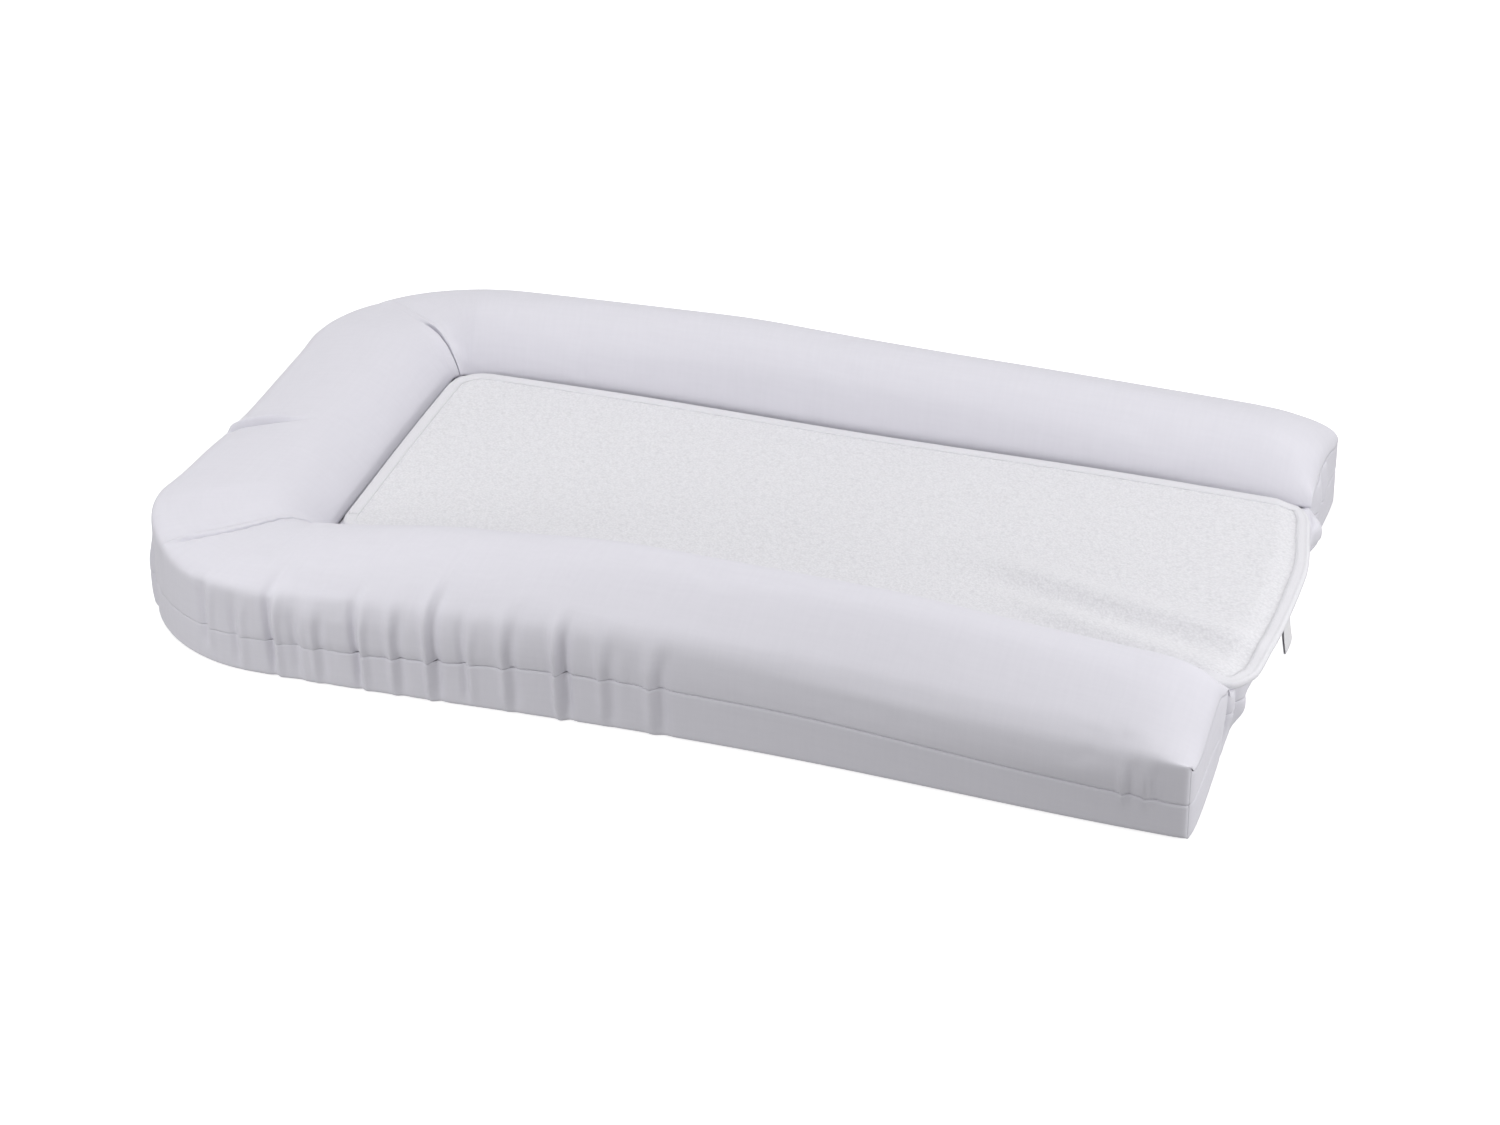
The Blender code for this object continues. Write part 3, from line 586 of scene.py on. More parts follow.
def foot_shift(y, z):
    """How far the foot end stands out. The elastic draws its lower edge in and puckers it.

    The puckers are (y, half width, reach, height, half height).
    """
    puckers = [
        (-0.138, 0.0030, -0.0062, 0.034, 0.019),
        (-0.129, 0.0045, 0.0030, 0.034, 0.016),
        (-0.120, 0.0028, -0.0024, 0.036, 0.014),
        (-0.110, 0.0055, 0.0052, 0.024, 0.012),
        (-0.060, 0.012, 0.0018, 0.028, 0.016),
        (-0.020, 0.010, 0.0014, 0.030, 0.016),
        (0.050, 0.014, 0.0020, 0.028, 0.016),
        (0.090, 0.010, 0.0020, 0.030, 0.016),
        (0.117, 0.012, 0.0095, 0.040, 0.018),
        (0.138, 0.005, -0.0040, 0.042, 0.018),
        (0.158, 0.006, 0.0035, 0.044, 0.020),
        (0.178, 0.006, 0.0035, 0.046, 0.022),
        (-0.160, 0.010, 0.0012, 0.040, 0.022),
    ]
    lean = fade(z, 0.0, LYING_Z)
    under = fade(HALF_WIDTH - np.abs(y), 0.02, 0.16)
    shift = FOOT_BULGE * foot_bulge(y) * lean - FOOT_TUCK * under * (1.0 - lean)
    for centre, half, reach, at, half_height in puckers:
        shift = shift + reach * bump(y, centre, half) * bump(z, at, half_height)
    return shift


def foot_top_edge(y):
    """The top surface's height at the foot plane, for places across it."""
    heights = []
    for side, column in ((1.0, TOP[0]), (-1.0, TOP[-1])):
        column = column[column[:, 2] > WALL_MIDDLE]
        across = np.maximum.accumulate(side * column[:, 1])
        heights.append(np.interp(side * y + 0.0005, across, column[:, 2]))
    return np.where(y < 0.0, heights[0], heights[1])


def foot_grid(low, high):
    """The foot end between two heights, both given for each place across."""
    half = HALF_WIDTH - FOOT_CORNER
    y = np.linspace(-half, half, round(4.0 * half / STEP) + 1)
    share = np.linspace(0.0, 1.0, 26)[None]
    z = low(y)[:, None] + (high(y) - low(y))[:, None] * share
    edge = bump(z, high(y)[:, None], 0.0015) + bump(z, low(y)[:, None], 0.0012)
    ends = fade(half - np.abs(y), 0.0, 0.006)[:, None]
    corner = FOOT_CORNER * np.exp(-(half - np.abs(y)) / FOOT_CORNER_REACH)[:, None]
    x = FOOT_X + ends * foot_shift(y[:, None], z) - corner - 0.0008 * edge * ends
    grid = np.stack([x, np.repeat(y[:, None], 26, axis=1), z], -1)
    tucked = grid[:, -1:] + np.array([-0.005, 0.0, -0.0012])
    seam_x = FOOT_X + FOOT_BULGE * foot_bulge(y) - 0.004
    tucked[:, 0, 0] = np.minimum(tucked[:, 0, 0], seam_x)
    return y, np.concatenate([grid, tucked], 1)


def foot_hem(skirt):
    """The strip of the foot band that is turned under the pad, mitred into the sides' strips."""
    bottom = skirt[:, :1]
    under = np.linspace(HEM_REACH, 0.002, 12)[None, :, None]
    strip = np.repeat(bottom, 12, axis=1) + under * np.array([-1.0, 0.0, 0.0])
    strip[..., 1:2] *= 1.0 - under / HALF_WIDTH
    ripple = 1.0 + np.sin(250.0 * bottom[..., 1:2])
    strip[..., 2:3] = HEM_RIPPLE * np.minimum(under / 0.012, 1.0) * ripple
    return np.concatenate([strip, skirt], 1)


def foot_seam(y):
    return seam_height(np.where(y < 0.0, 0.0, WHOLE_RUN)) + 0.010 * (1.0 - (y / HALF_WIDTH) ** 2)


def make_foot_end(material):
    """The upright end panel above the seam, and the band below it."""
    pieces = (
        ("cover_foot_end", "cover_foot_panel", foot_seam, foot_top_edge),
        ("cover_foot_skirt", "cover_foot_band", lambda y: 0.0 * y, foot_seam),
    )
    for name, node, low, high in pieces:
        y, grid = foot_grid(low, high)
        if high is foot_seam:
            grid = foot_hem(grid)
        cloth_u = np.repeat(y[:, None], grid.shape[1], axis=1)
        add_cotton(name, node, grid, cloth_u, material)


def make_centre(material):
    """The flat middle of the cover, mostly under the towel."""
    share = np.linspace(0.0, 1.0, 160)
    inner_head = HEAD_X + HEAD_WIDTH
    half = HALF_WIDTH - SIDE_WIDTH
    x = inner_head + (FOOT_X - inner_head) * share
    y = np.linspace(-half, half, 90)
    grid = np.zeros((len(x), len(y), 3))
    grid[..., 0] = x[:, None] + FOOT_BULGE * foot_bulge(y)[None] * fade(x, FOOT_X - 0.06, FOOT_X)[:, None]
    grid[..., 1] = y[None]
    edge = np.minimum(half - np.abs(y)[None], (x - inner_head)[:, None])
    grid[..., 2] = LYING_Z - 0.0012 * np.exp(-edge / 0.002)
    cloth_u = np.repeat(x[:, None], len(y), axis=1)
    add_cotton("cover_centre", "cover_centre_panel", grid, cloth_u, material)


# -------- liner and foam


def closed_body(name, rows, material):
    """A closed body through the rows round the pad, shut at the middle, the bottom and the foot."""
    columns, count = rows.shape[:2]
    index = np.arange(columns * count).reshape(columns, count)
    quads = np.stack([index[:-1, :-1], index[1:, :-1], index[1:, 1:], index[:-1, 1:]], -1).reshape(-1, 4)
    faces = quads.tolist() + [index[:, -1].tolist(), index[::-1, 0].tolist()]
    faces.append(index[0, :].tolist()[::-1] + index[-1, :].tolist())
    obj = mesh_object(name, rows.reshape(-1, 3).tolist(), faces, material)
    obj.data.set_sharp_from_angle(angle=math.radians(40.0))
    return obj


def inner_rows(inset, bottom):
    """The pad's surface moved in by the inset, from the bottom up to the middle's edge."""
    rows = inset_grid(inset)[::4, ::3]
    rows[:, -1, 2] = LYING_Z - inset
    foot = rows[:, :1].copy()
    foot[..., 2] = bottom
    return np.concatenate([foot, rows], 1)


def cut_zip_groove(obj):
    """A groove in the underside, where the zip's coils and slider lie."""
    tape_low, tape_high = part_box("zip_tape_front")
    zip_x = 0.5 * (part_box("zip_slider")[0].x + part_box("zip_slider")[1].x)
    mesh = bpy.data.meshes.new("zip_groove")
    ends_x = (zip_x - ZIP_GROOVE_HALF, zip_x + ZIP_GROOVE_HALF)
    ends_y = (tape_low.y, tape_high.y)
    corners = [(x, y, z) for z in (-0.01, ZIP_GROOVE_TOP) for y in ends_y for x in ends_x]
    sides = [(0, 2, 3, 1), (4, 5, 7, 6), (0, 1, 5, 4), (1, 3, 7, 5), (3, 2, 6, 7), (2, 0, 4, 6)]
    mesh.from_pydata(corners, [], sides)
    cutter = bpy.data.objects.new("zip_groove", mesh)
    bpy.context.scene.collection.objects.link(cutter)
    modifier = obj.modifiers.new("zip_groove", "BOOLEAN")
    modifier.object = cutter
    cut = obj.evaluated_get(bpy.context.evaluated_depsgraph_get())
    obj.data = bpy.data.meshes.new_from_object(cut)
    obj.modifiers.remove(modifier)
    bpy.data.objects.remove(cutter)


def make_inside(liner_material, foam_material):
    """The liner and the foam follow the cover from inside, clear of its folds."""
    liner_bottom, foam_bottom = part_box("waterproof_liner")[0].z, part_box("base_foam_slab")[0].z
    liner = closed_body("liner_shell", inner_rows(LINER_INSET, liner_bottom), liner_material)
    cut_zip_groove(liner)
    finish_piece(liner, "pad", "liner", "waterproof_liner")
    foam = closed_body("foam_core", inner_rows(FOAM_INSET, foam_bottom), foam_material)
    cut_zip_groove(foam)
    names = ("base_foam_slab", "near_bolster_foam", "head_bolster_foam", "far_bolster_foam")
    finish_piece(foam, "pad", "foam", *names)


# -------- towel

TOWEL_LOW, TOWEL_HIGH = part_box("towel_binding")
TOWEL_EDGE_RADIUS = 0.028
TOWEL_FOOT_RADIUS = 0.012
PILE_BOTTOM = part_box("terry_towel")[0].z
PILE_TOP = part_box("terry_towel")[1].z
TAPE_WIDTH = 0.010

TOWEL_WRINKLES = (
    ((0.16, -0.015), (0.41, -0.080), 0.0062),
    ((0.20, -0.065), (0.41, -0.128), 0.0056),
)


def towel_drape(points):
    """Moves the flat towel: its near edge rides up the bolster, and two long wrinkles cross the foot."""
    x, y = points[..., 0], points[..., 1]
    near_edge = TOWEL_LOW.y
    along = fade(x, -0.16, -0.02) * (1.0 - fade(x, 0.24, 0.36))
    climb = along * np.exp(-(y - near_edge) / 0.012)
    moved = points.copy()
    moved[..., 2] += 0.0120 * climb
    moved[..., 1] -= 0.0035 * climb
    for start, end, rise in TOWEL_WRINKLES:
        run = np.array(end) - np.array(start)
        length = np.linalg.norm(run)
        run = run / length
        forward = (x - start[0]) * run[0] + (y - start[1]) * run[1]
        aside = (y - start[1]) * run[0] - (x - start[0]) * run[1]
        on = fade(forward, 0.0, 0.09) * (1.0 - 0.85 * fade(forward, length - 0.06, length - 0.01))
        moved[..., 2] += rise * on * (bump(aside, 0.0, 0.013) - 0.3 * bump(aside, -0.022, 0.012))
    over = fade(x, FOOT_X - 0.09, TOWEL_HIGH.x)
    moved[..., 0] += (1.15 * FOOT_BULGE * foot_bulge(y) + 0.0075 * fade(-y, -0.11, -0.03)) * over
    moved[..., 2] -= 0.0028 * fade(x, FOOT_X - 0.027, FOOT_X - 0.013)
    sway = np.sin(x * 17.0 + 0.6) * np.sin(y * 23.0 + 1.1)
    moved[..., 2] += 0.0009 * sway
    return moved


def towel_half_width(x, inset):
    """Half the towel's width at each x, less at its rounded corners."""
    half = TOWEL_HIGH.y - inset
    ends = (
        (TOWEL_LOW.x + inset, 1.0, TOWEL_EDGE_RADIUS - inset),
        (TOWEL_HIGH.x - inset, -1.0, TOWEL_FOOT_RADIUS - inset),
    )
    for edge, side, radius in ends:
        gap = np.clip(side * (x - edge), 0.0, radius)
        cut = radius - np.sqrt(np.maximum(radius**2 - (radius - gap) ** 2, 0.0))
        half = half - cut
    return half


def make_towel(material):
    inset = 0.004
    turn = 1.0 - np.cos(np.linspace(0.0, 0.5 * math.pi, 12))
    low, high = TOWEL_LOW.x + inset, TOWEL_HIGH.x - inset
    head = low + (TOWEL_EDGE_RADIUS - inset) * turn
    foot = high - (TOWEL_FOOT_RADIUS - inset) * turn[::-1]
    x = np.concatenate([head, np.arange(head[-1] + 0.0013, foot[0] - 0.0006, 0.0013), foot])
    half = towel_half_width(x, inset)
    y = half[:, None] * np.linspace(-1.0, 1.0, 200)[None]
    grid = np.stack([np.repeat(x[:, None], 200, axis=1), y, np.full(y.shape, PILE_TOP)], -1)
    grid = towel_drape(grid)
    obj = grid_object("towel_pile", grid, np.repeat(x[:, None], 200, axis=1), y, material)
    thicken(obj, PILE_TOP - PILE_BOTTOM)
    loops = bpy.data.textures.new("towel_loops", "CLOUDS")
    loops.noise_scale = 0.0019
    loops.noise_depth = 1
    nub = obj.modifiers.new("loops", "DISPLACE")
    nub.texture = loops
    nub.texture_coords = "LOCAL"
    nub.strength = 0.0006
    nub.mid_level = 0.5
    finish_piece(obj, "towel", "terry", "terry_towel")
    size = TOWEL_HIGH - TOWEL_LOW
    return obj, (size.y, size.x)


def towel_ring(inset, count_arc=14, count_side=260, count_end=90):
    """Points round the towel at a distance in from its edge."""
    corners = (
        (TOWEL_LOW.x, -1.0, TOWEL_LOW.y, 180.0, TOWEL_EDGE_RADIUS, count_side),
        (TOWEL_HIGH.x, 1.0, TOWEL_LOW.y, 270.0, TOWEL_FOOT_RADIUS, count_end),
        (TOWEL_HIGH.x, 1.0, TOWEL_HIGH.y, 0.0, TOWEL_FOOT_RADIUS, count_side),
        (TOWEL_LOW.x, -1.0, TOWEL_HIGH.y, 90.0, TOWEL_EDGE_RADIUS, count_end),
    )
    arcs = []
    for x, outward, y, start, radius, _ in corners:
        angle = np.radians(np.linspace(start, start + 90.0, count_arc))
        centre = np.array([x - outward * radius, y - math.copysign(radius, y)])
        arcs.append(centre + (radius - inset) * np.stack([np.cos(angle), np.sin(angle)], -1))
    points = []
    for i, arc in enumerate(arcs):
        after = arcs[(i + 1) % 4][0]
        share = np.linspace(0.0, 1.0, corners[i][5] + 2)[1:-1, None]
        points += [arc, arc[-1] + (after - arc[-1]) * share]
    ring = np.concatenate(points)
    return np.concatenate([ring, ring[:1]])


def make_binding(material):
    """A tape folded over the towel's edge: a rolled outer edge, then a flat hem."""
    middle = 0.5 * (PILE_TOP + PILE_BOTTOM)
    half = 0.5 * (PILE_TOP - PILE_BOTTOM) + 0.0006
    section = [(TAPE_WIDTH, half - 0.0006), (TAPE_WIDTH - 0.0004, half + 0.0001), (0.0075, half + 0.0002)]
    section += [(0.0045, half + 0.0001), (0.0034, half - 0.0001), (0.0022, half + 0.0004)]
    for angle in np.radians(np.linspace(75.0, -75.0, 9)):
        section.append((0.0020 - 0.0020 * math.cos(angle), half * math.sin(angle)))
    section += [(0.0030, -half), (TAPE_WIDTH, -half)]
    rings = [
        np.concatenate([towel_ring(inset), np.full((len(towel_ring(inset)), 1), middle + z)], 1)
        for inset, z in section
    ]
    grid = towel_drape(np.stack(rings, 1))
    obj = grid_object("towel_edge", grid, run_lengths(grid, 0), run_lengths(grid, 1), material, flip=True)
    thicken(obj, 0.0005)
    return finish_piece(obj, "towel", "binding", "towel_binding")


# -------- small sewn pieces


def make_patch(node, body, material, upward):
    """A square of hook-and-loop tape with rounded corners, a stitched channel and a raised face."""
    low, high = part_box(node)
    centre = 0.5 * (low + high)
    half = 0.5 * (high.x - low.x)
    across = np.linspace(-1.0, 1.0, 41)
    u, v = np.meshgrid(across, across, indexing="ij")
    pinch = 1.0 - 0.06 * (u * v) ** 2 * np.abs(u * v)
    edge = half * (1.0 - np.maximum(np.abs(u), np.abs(v)))
    thick = high.z - low.z
    raised = thick * (0.55 + 0.45 * fade(edge, 0.0, 0.0010))
    raised = raised - 0.35 * thick * bump(edge, 0.0024, 0.0005)
    base, side = (low.z, 1.0) if upward else (high.z, -1.0)
    z = base + side * raised
    grid = np.stack([centre.x + half * u * pinch, centre.y + half * v * pinch, z], -1)
    obj = grid_object(node.replace("patch", "tape"), grid, half * u, half * v, material, flip=not upward)
    thicken(obj, 0.5 * thick)
    return finish_piece(obj, body, "hook_and_loop", node)


def make_stitches(name, path, material):
    """A row of short stitches along a path: each is a small rounded bar that dips at both ends."""
    length, pitch, radius = 0.0024, 0.0034, 0.00022
    gaps = np.linalg.norm(np.diff(path, axis=0), axis=1)
    run = np.concatenate([[0.0], np.cumsum(gaps)])
    starts = np.arange(0.5 * pitch, run[-1] - 0.5 * pitch, pitch)
    share = np.linspace(-0.5, 0.5, 6)
    angle = np.linspace(0.0, 2.0 * math.pi, 5)[:-1]
    points, faces = [], []
    for start in starts:
        middle = np.array([np.interp(start + length * share, run, path[:, k]) for k in range(3)]).T
        along = middle[-1] - middle[0]
        aside = np.array([-along[1], along[0], 0.0]) / max(np.hypot(along[0], along[1]), 1e-9)
        for place, t in zip(middle, share):
            size = radius * math.sqrt(max(1.0 - (1.96 * t) ** 2, 0.02))
            lift = 0.5 * radius - 1.2 * radius * (2.0 * t) ** 4
            ring = place + np.outer(np.cos(angle), aside) * size
            ring[:, 2] += np.sin(angle) * size + lift
            points.append(ring)
        first = (len(points) - len(share)) * 4
        for step in range(len(share) - 1):
            for k in range(4):
                a, b = first + 4 * step + k, first + 4 * step + (k + 1) % 4
                faces.append((a, b, b + 4, a + 4))
        faces.append((first + 3, first + 2, first + 1, first))
        end = first + 4 * (len(share) - 1)
        faces.append((end, end + 1, end + 2, end + 3))
    return mesh_object(name, np.concatenate(points).tolist(), faces, material)


def make_hem_stitches(material):
    """The row of stitches that holds the towel's tape."""
    ring = towel_ring(TAPE_WIDTH - 0.0016)
    height = np.full((len(ring), 1), PILE_TOP + 0.0007)
    path = towel_drape(np.concatenate([ring, height], 1))
    obj = make_stitches("towel_stitches", path, material)
    return finish_piece(obj, "towel", "binding")


def make_label(material):
    """A blank satin tape, folded in half, with both ends caught under the foot end's top edge."""
    low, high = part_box("care_label")
    centre = 0.5 * (low.y + high.y)
    half = 0.5 * (high.y - low.y)
    share = np.linspace(0.0, 1.0, 41)
    down = 1.0 - np.abs(2.0 * share - 1.0)
    outer = share < 0.5
    depth = (high.z - low.z - 0.0012) * np.sin(0.5 * math.pi * down) ** 0.9
    fold = 0.0011 * outer * (1.0 - fade(down, 0.93, 1.0))
    reach = 0.0035 * fade(down, 0.0, 1.0) ** 0.8 + fold
    across = np.linspace(-1.0, 1.0, 21)
    curl = 0.0007 * across[:, None] ** 2 * down[None]
    y = np.repeat(centre + half * across[:, None], len(share), axis=1)
    x = low.x + 0.0006 + FOOT_BULGE * foot_bulge(y[:, :1]) + reach[None] - curl
    z = high.z - 0.0008 - depth[None] + 0.0009 * across[:, None] * down[None]
    cloth_v = np.repeat((0.05 * share)[None], len(across), axis=0)
    obj = grid_object("label_tab", np.stack([x, y, z], -1), y, cloth_v, material)
    thicken(obj, 0.0003)
    return finish_piece(obj, "pad", "label", "care_label")


def make_tape_strip(node, cord_side, material):
    """One zip tape: a woven strip with a thicker cord along the edge beside the coil."""
    low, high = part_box(node)
    share = np.linspace(0.0, 1.0, 25)
    x = low.x + (high.x - low.x) * share
    y = np.linspace(low.y, high.y, 260)
    beside = (1.0 - share) if cord_side > 0 else share
    thick = 0.55 + 0.45 * bump(beside, 0.93, 0.05) + 0.15 * bump(beside, 0.55, 0.03)
    ripple = 0.06 * np.sin(y * 900.0)[:, None] * np.ones(len(share))[None]
    z = high.z - (high.z - low.z) * np.clip(thick[None] + ripple, 0.0, 1.0)
    grid = np.stack([np.repeat(x[None], len(y), axis=0), np.repeat(y[:, None], len(share), axis=1), z], -1)
    obj = grid_object(node + "_woven", grid, grid[..., 0], grid[..., 1], material)
    thicken(obj, 0.00018)
    return finish_piece(obj, "pad", "zip_tape", node)


def make_coil(node, material):
    """One zip coil: a flattened spiral of nylon wire."""
    low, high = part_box(node)
    wire = 0.00021
    pitch = 0.0013
    turns = int((high.y - low.y - 2.0 * wire) / pitch)
    angle = np.linspace(0.0, 2.0 * math.pi * turns, 12 * turns + 1)
    centre_x, centre_z = 0.5 * (low.x + high.x), 0.5 * (low.z + high.z)
    reach_x, reach_z = 0.5 * (high.x - low.x) - wire, 0.5 * (high.z - low.z) - wire
    x = centre_x + reach_x * np.cos(angle)
    z = centre_z + reach_z * np.sin(angle)
    y = low.y + wire + pitch * angle / (2.0 * math.pi)
    round_wire = np.linspace(0.0, 2.0 * math.pi, 7)
    out = np.stack([np.cos(angle), np.zeros(len(angle)), np.sin(angle)], -1)
    side = np.array([0.0, 1.0, 0.0])
    round_wire = round_wire[None, :, None]
    around = np.cos(round_wire) * out[:, None] + np.sin(round_wire) * side
    rings = np.stack([x, y, z], -1)[:, None] + wire * around
    lengths = np.zeros(rings.shape[:2])
    obj = grid_object(node + "_spiral", rings, lengths, lengths, material, flip=True)
    return finish_piece(obj, "pad", "zip_coil", node)


def make_elastic(material):
    """The ribbed elastic that runs round inside the hem."""
    low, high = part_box("hem_elastic")
    across = np.linspace(0.0245, 0.0325, 17)
    sides = OUTER[:, None] + INWARD[:, None] * across[None, :, None]
    edge = FOOT_X - across[None]
    sides[..., 0] = np.minimum(sides[..., 0], edge - 0.01 * np.minimum(RUN, WHOLE_RUN - RUN)[:, None])
    share = np.linspace(0.0, 1.0, 202)[1:-1, None, None]
    foot = sides[-1][None] + (sides[0] - sides[-1])[None] * share
    plan = np.concatenate([sides, foot, sides[:1]])
    ribs = 0.5 + 0.5 * np.cos(np.linspace(0.0, 12.0 * math.pi, 17))
    z = np.full(plan.shape[:2], low.z) + 0.00022 * ribs[None]
    grid = np.concatenate([plan, z[..., None]], 2)
    obj = grid_object("hem_elastic_ribbed", grid, run_lengths(grid, 0), run_lengths(grid, 1), material)
    thicken(obj, 0.5 * (high.z - low.z))
    return finish_piece(obj, "pad", "elastic", "hem_elastic")


def make_small_pieces():
    webbing = make_webbing("zip_tape_weave", (0.80, 0.80, 0.82), 0.0007)
    nylon = make_nylon()
    for name, side in (("front", 1.0), ("rear", -1.0)):
        make_tape_strip(f"zip_tape_{name}", side, webbing)
        make_coil(f"zip_coil_{name}", nylon)
    make_elastic(make_webbing("ribbed_elastic", (0.85, 0.85, 0.85), 0.0012))
    make_label(make_satin())
    hook = make_hook_and_loop("hook_tape", 900.0)
    loop = make_hook_and_loop("loop_tape", 420.0)
    for place in ("near_head", "far_head", "near_foot", "far_foot"):
        make_patch(f"hook_patch_{place}", "pad", hook, True)
        make_patch(f"loop_patch_{place}", "towel", loop, False)
    metal = make_plated_zinc()
    for node in ("zip_top_stop", "zip_bottom_stop", "zip_slider", "zip_puller"):
        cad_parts[node].data.materials[0] = metal


# -------- materials


def set_inputs(node, values):
    for name, value in values.items():
        node.inputs[name].default_value = value


def new_material(name, colour, roughness):
    material = bpy.data.materials.new(name)
    material.use_nodes = True
    shader = material.node_tree.nodes["Principled BSDF"]
    set_inputs(shader, {"Base Color": (*colour, 1.0), "Roughness": roughness})
    return material, material.node_tree, shader


def math_node(tree, operation, first, second):
    node = tree.nodes.new("ShaderNodeMath")
    node.operation = operation
    for socket, value in zip(node.inputs, (first, second)):
        if isinstance(value, (int, float)):
            socket.default_value = value
        else:
            tree.links.new(value, socket)
    return node.outputs[0]


def threads(tree, coordinates, axis, pitch):
    """Rounded threads across the cloth, one way of the weave."""
    wave = tree.nodes.new("ShaderNodeTexWave")
    wave.bands_direction = axis
    set_inputs(wave, {"Scale": 0.314 / pitch, "Distortion": 0.6, "Detail": 1.0})
    tree.links.new(coordinates, wave.inputs["Vector"])
    return wave.outputs["Fac"]


def noise(tree, coordinates, scale, detail=2.0, stretch=None):
    node = tree.nodes.new("ShaderNodeTexNoise")
    set_inputs(node, {"Scale": scale, "Detail": detail})
    if stretch:
        mapping = tree.nodes.new("ShaderNodeMapping")
        set_inputs(mapping, {"Scale": stretch})
        tree.links.new(coordinates, mapping.inputs["Vector"])
        coordinates = mapping.outputs["Vector"]
    tree.links.new(coordinates, node.inputs["Vector"])
    return node.outputs["Fac"]


def cells(tree, coordinates, scale, randomness=1.0):
    """Distance from the middle of each cell."""
    node = tree.nodes.new("ShaderNodeTexVoronoi")
    set_inputs(node, {"Scale": scale, "Randomness": randomness})
    tree.links.new(coordinates, node.inputs["Vector"])
    return node.outputs["Distance"]


def colour_by(tree, shader, factor, low, high):
    ramp = tree.nodes.new("ShaderNodeMix")
    ramp.data_type = "RGBA"
    set_inputs(ramp, {"A": (*low, 1.0), "B": (*high, 1.0)})
    tree.links.new(factor, ramp.inputs["Factor"])
    tree.links.new(ramp.outputs["Result"], shader.inputs["Base Color"])


def add_bump(tree, shader, height, strength, distance):
    node = tree.nodes.new("ShaderNodeBump")
    set_inputs(node, {"Strength": strength, "Distance": distance})
    tree.links.new(height, node.inputs["Height"])
    tree.links.new(node.outputs["Normal"], shader.inputs["Normal"])


def object_coordinates(tree):
    return tree.nodes.new("ShaderNodeTexCoord").outputs["Object"]


def cloth_coordinates(tree):
    node = tree.nodes.new("ShaderNodeUVMap")
    node.uv_map = "cloth"
    return node.outputs["UV"]


def make_cotton():
    """Smooth plain-woven cotton: fine threads both ways, with faint slubs."""
    material, tree, shader = new_material("cotton_weave", (0.66, 0.65, 0.71), 0.82)
    cloth = cloth_coordinates(tree)
    warp = threads(tree, cloth, "X", 0.0005)
    weft = threads(tree, cloth, "Y", 0.0005)
    weave = math_node(tree, "MAXIMUM", warp, weft)
    slub_u = noise(tree, cloth, 300.0, 2.0, (1.0, 0.12, 1.0))
    slub_v = noise(tree, cloth, 300.0, 2.0, (0.12, 1.0, 1.0))
    slubs = math_node(tree, "ADD", slub_u, slub_v)
    height = math_node(tree, "ADD", math_node(tree, "MULTIPLY", weave, 0.5), slubs)
    shade = math_node(tree, "MULTIPLY", slubs, 0.5)
    colour_by(tree, shader, shade, (0.645, 0.635, 0.69), (0.70, 0.69, 0.745))
    add_bump(tree, shader, height, 0.15, 0.00012)
    set_inputs(shader, {"Sheen Weight": 0.10, "Sheen Roughness": 0.5})
    return material


def make_terry():
    """Looped pile: small loops, with painted shade darkening the hollows between them."""
    material, tree, shader = new_material("terry_pile", (0.78, 0.77, 0.80), 0.95)
    cloth = cloth_coordinates(tree)
    tuft = math_node(tree, "SUBTRACT", 1.0, cells(tree, cloth, 620.0))
    patches = noise(tree, cloth, 240.0, 3.0)
    height = math_node(tree, "ADD", tuft, patches)
    # Painted shade: the colour follows the pile's height, darker in the hollows between the loops, with
    # random mottling from the patches.
    shade = math_node(tree, "MULTIPLY", height, 0.62)
    colour_by(tree, shader, shade, (0.58, 0.575, 0.605), (0.76, 0.755, 0.785))
    add_bump(tree, shader, height, 0.5, 0.0005)
    set_inputs(shader, {"Sheen Weight": 0.12, "Sheen Roughness": 0.6})
    return material


def make_tape():
    """The towel's flat hem tape, with fine ribs along it."""
    material, tree, shader = new_material("hem_tape", (0.74, 0.735, 0.77), 0.8)
    cloth = cloth_coordinates(tree)
    ribs = threads(tree, cloth, "Y", 0.0008)
    specks = noise(tree, cloth, 700.0, 2.0)
    height = math_node(tree, "ADD", math_node(tree, "MULTIPLY", ribs, 0.5), specks)
    colour_by(tree, shader, specks, (0.655, 0.65, 0.685), (0.745, 0.74, 0.77))
    add_bump(tree, shader, height, 0.3, 0.0002)
    return material


def make_liner_cloth():
    """Coated polyester: slightly glossy, with soft crumples."""
    material, tree, shader = new_material("coated_liner", (0.84, 0.85, 0.87), 0.38)
    place = object_coordinates(tree)
    crumple = noise(tree, place, 40.0, 4.0)
    # Painted shade: the colour follows the crumples, darker in their hollows.
    colour_by(tree, shader, crumple, (0.78, 0.79, 0.82), (0.87, 0.88, 0.90))
    add_bump(tree, shader, crumple, 0.4, 0.002)
    return material


def make_foam():
    """Open-cell foam: pitted all over, with painted shade darkening the pits."""
    material, tree, shader = new_material("open_cell_foam", (0.86, 0.84, 0.74), 0.95)
    pits = cells(tree, object_coordinates(tree), 700.0)
    # Painted shade: the colour is darker in the pits.
    colour_by(tree, shader, pits, (0.78, 0.75, 0.63), (0.88, 0.86, 0.77))
    add_bump(tree, shader, pits, 0.6, 0.0006)
    return material


def make_webbing(name, colour, pitch):
    """Woven tape or elastic: ribs both ways, with painted shade darkening the grooves between them."""
    material, tree, shader = new_material(name, colour, 0.75)
    place = object_coordinates(tree)
    ribs = math_node(tree, "ADD", threads(tree, place, "X", pitch), threads(tree, place, "Y", pitch))
    # Painted shade: the colour follows the ribs, darker in the grooves between them.
    shade = math_node(tree, "MULTIPLY", ribs, 0.5)
    colour_by(tree, shader, shade, [0.86 * c for c in colour], colour)
    add_bump(tree, shader, ribs, 0.5, 0.0002)
    return material


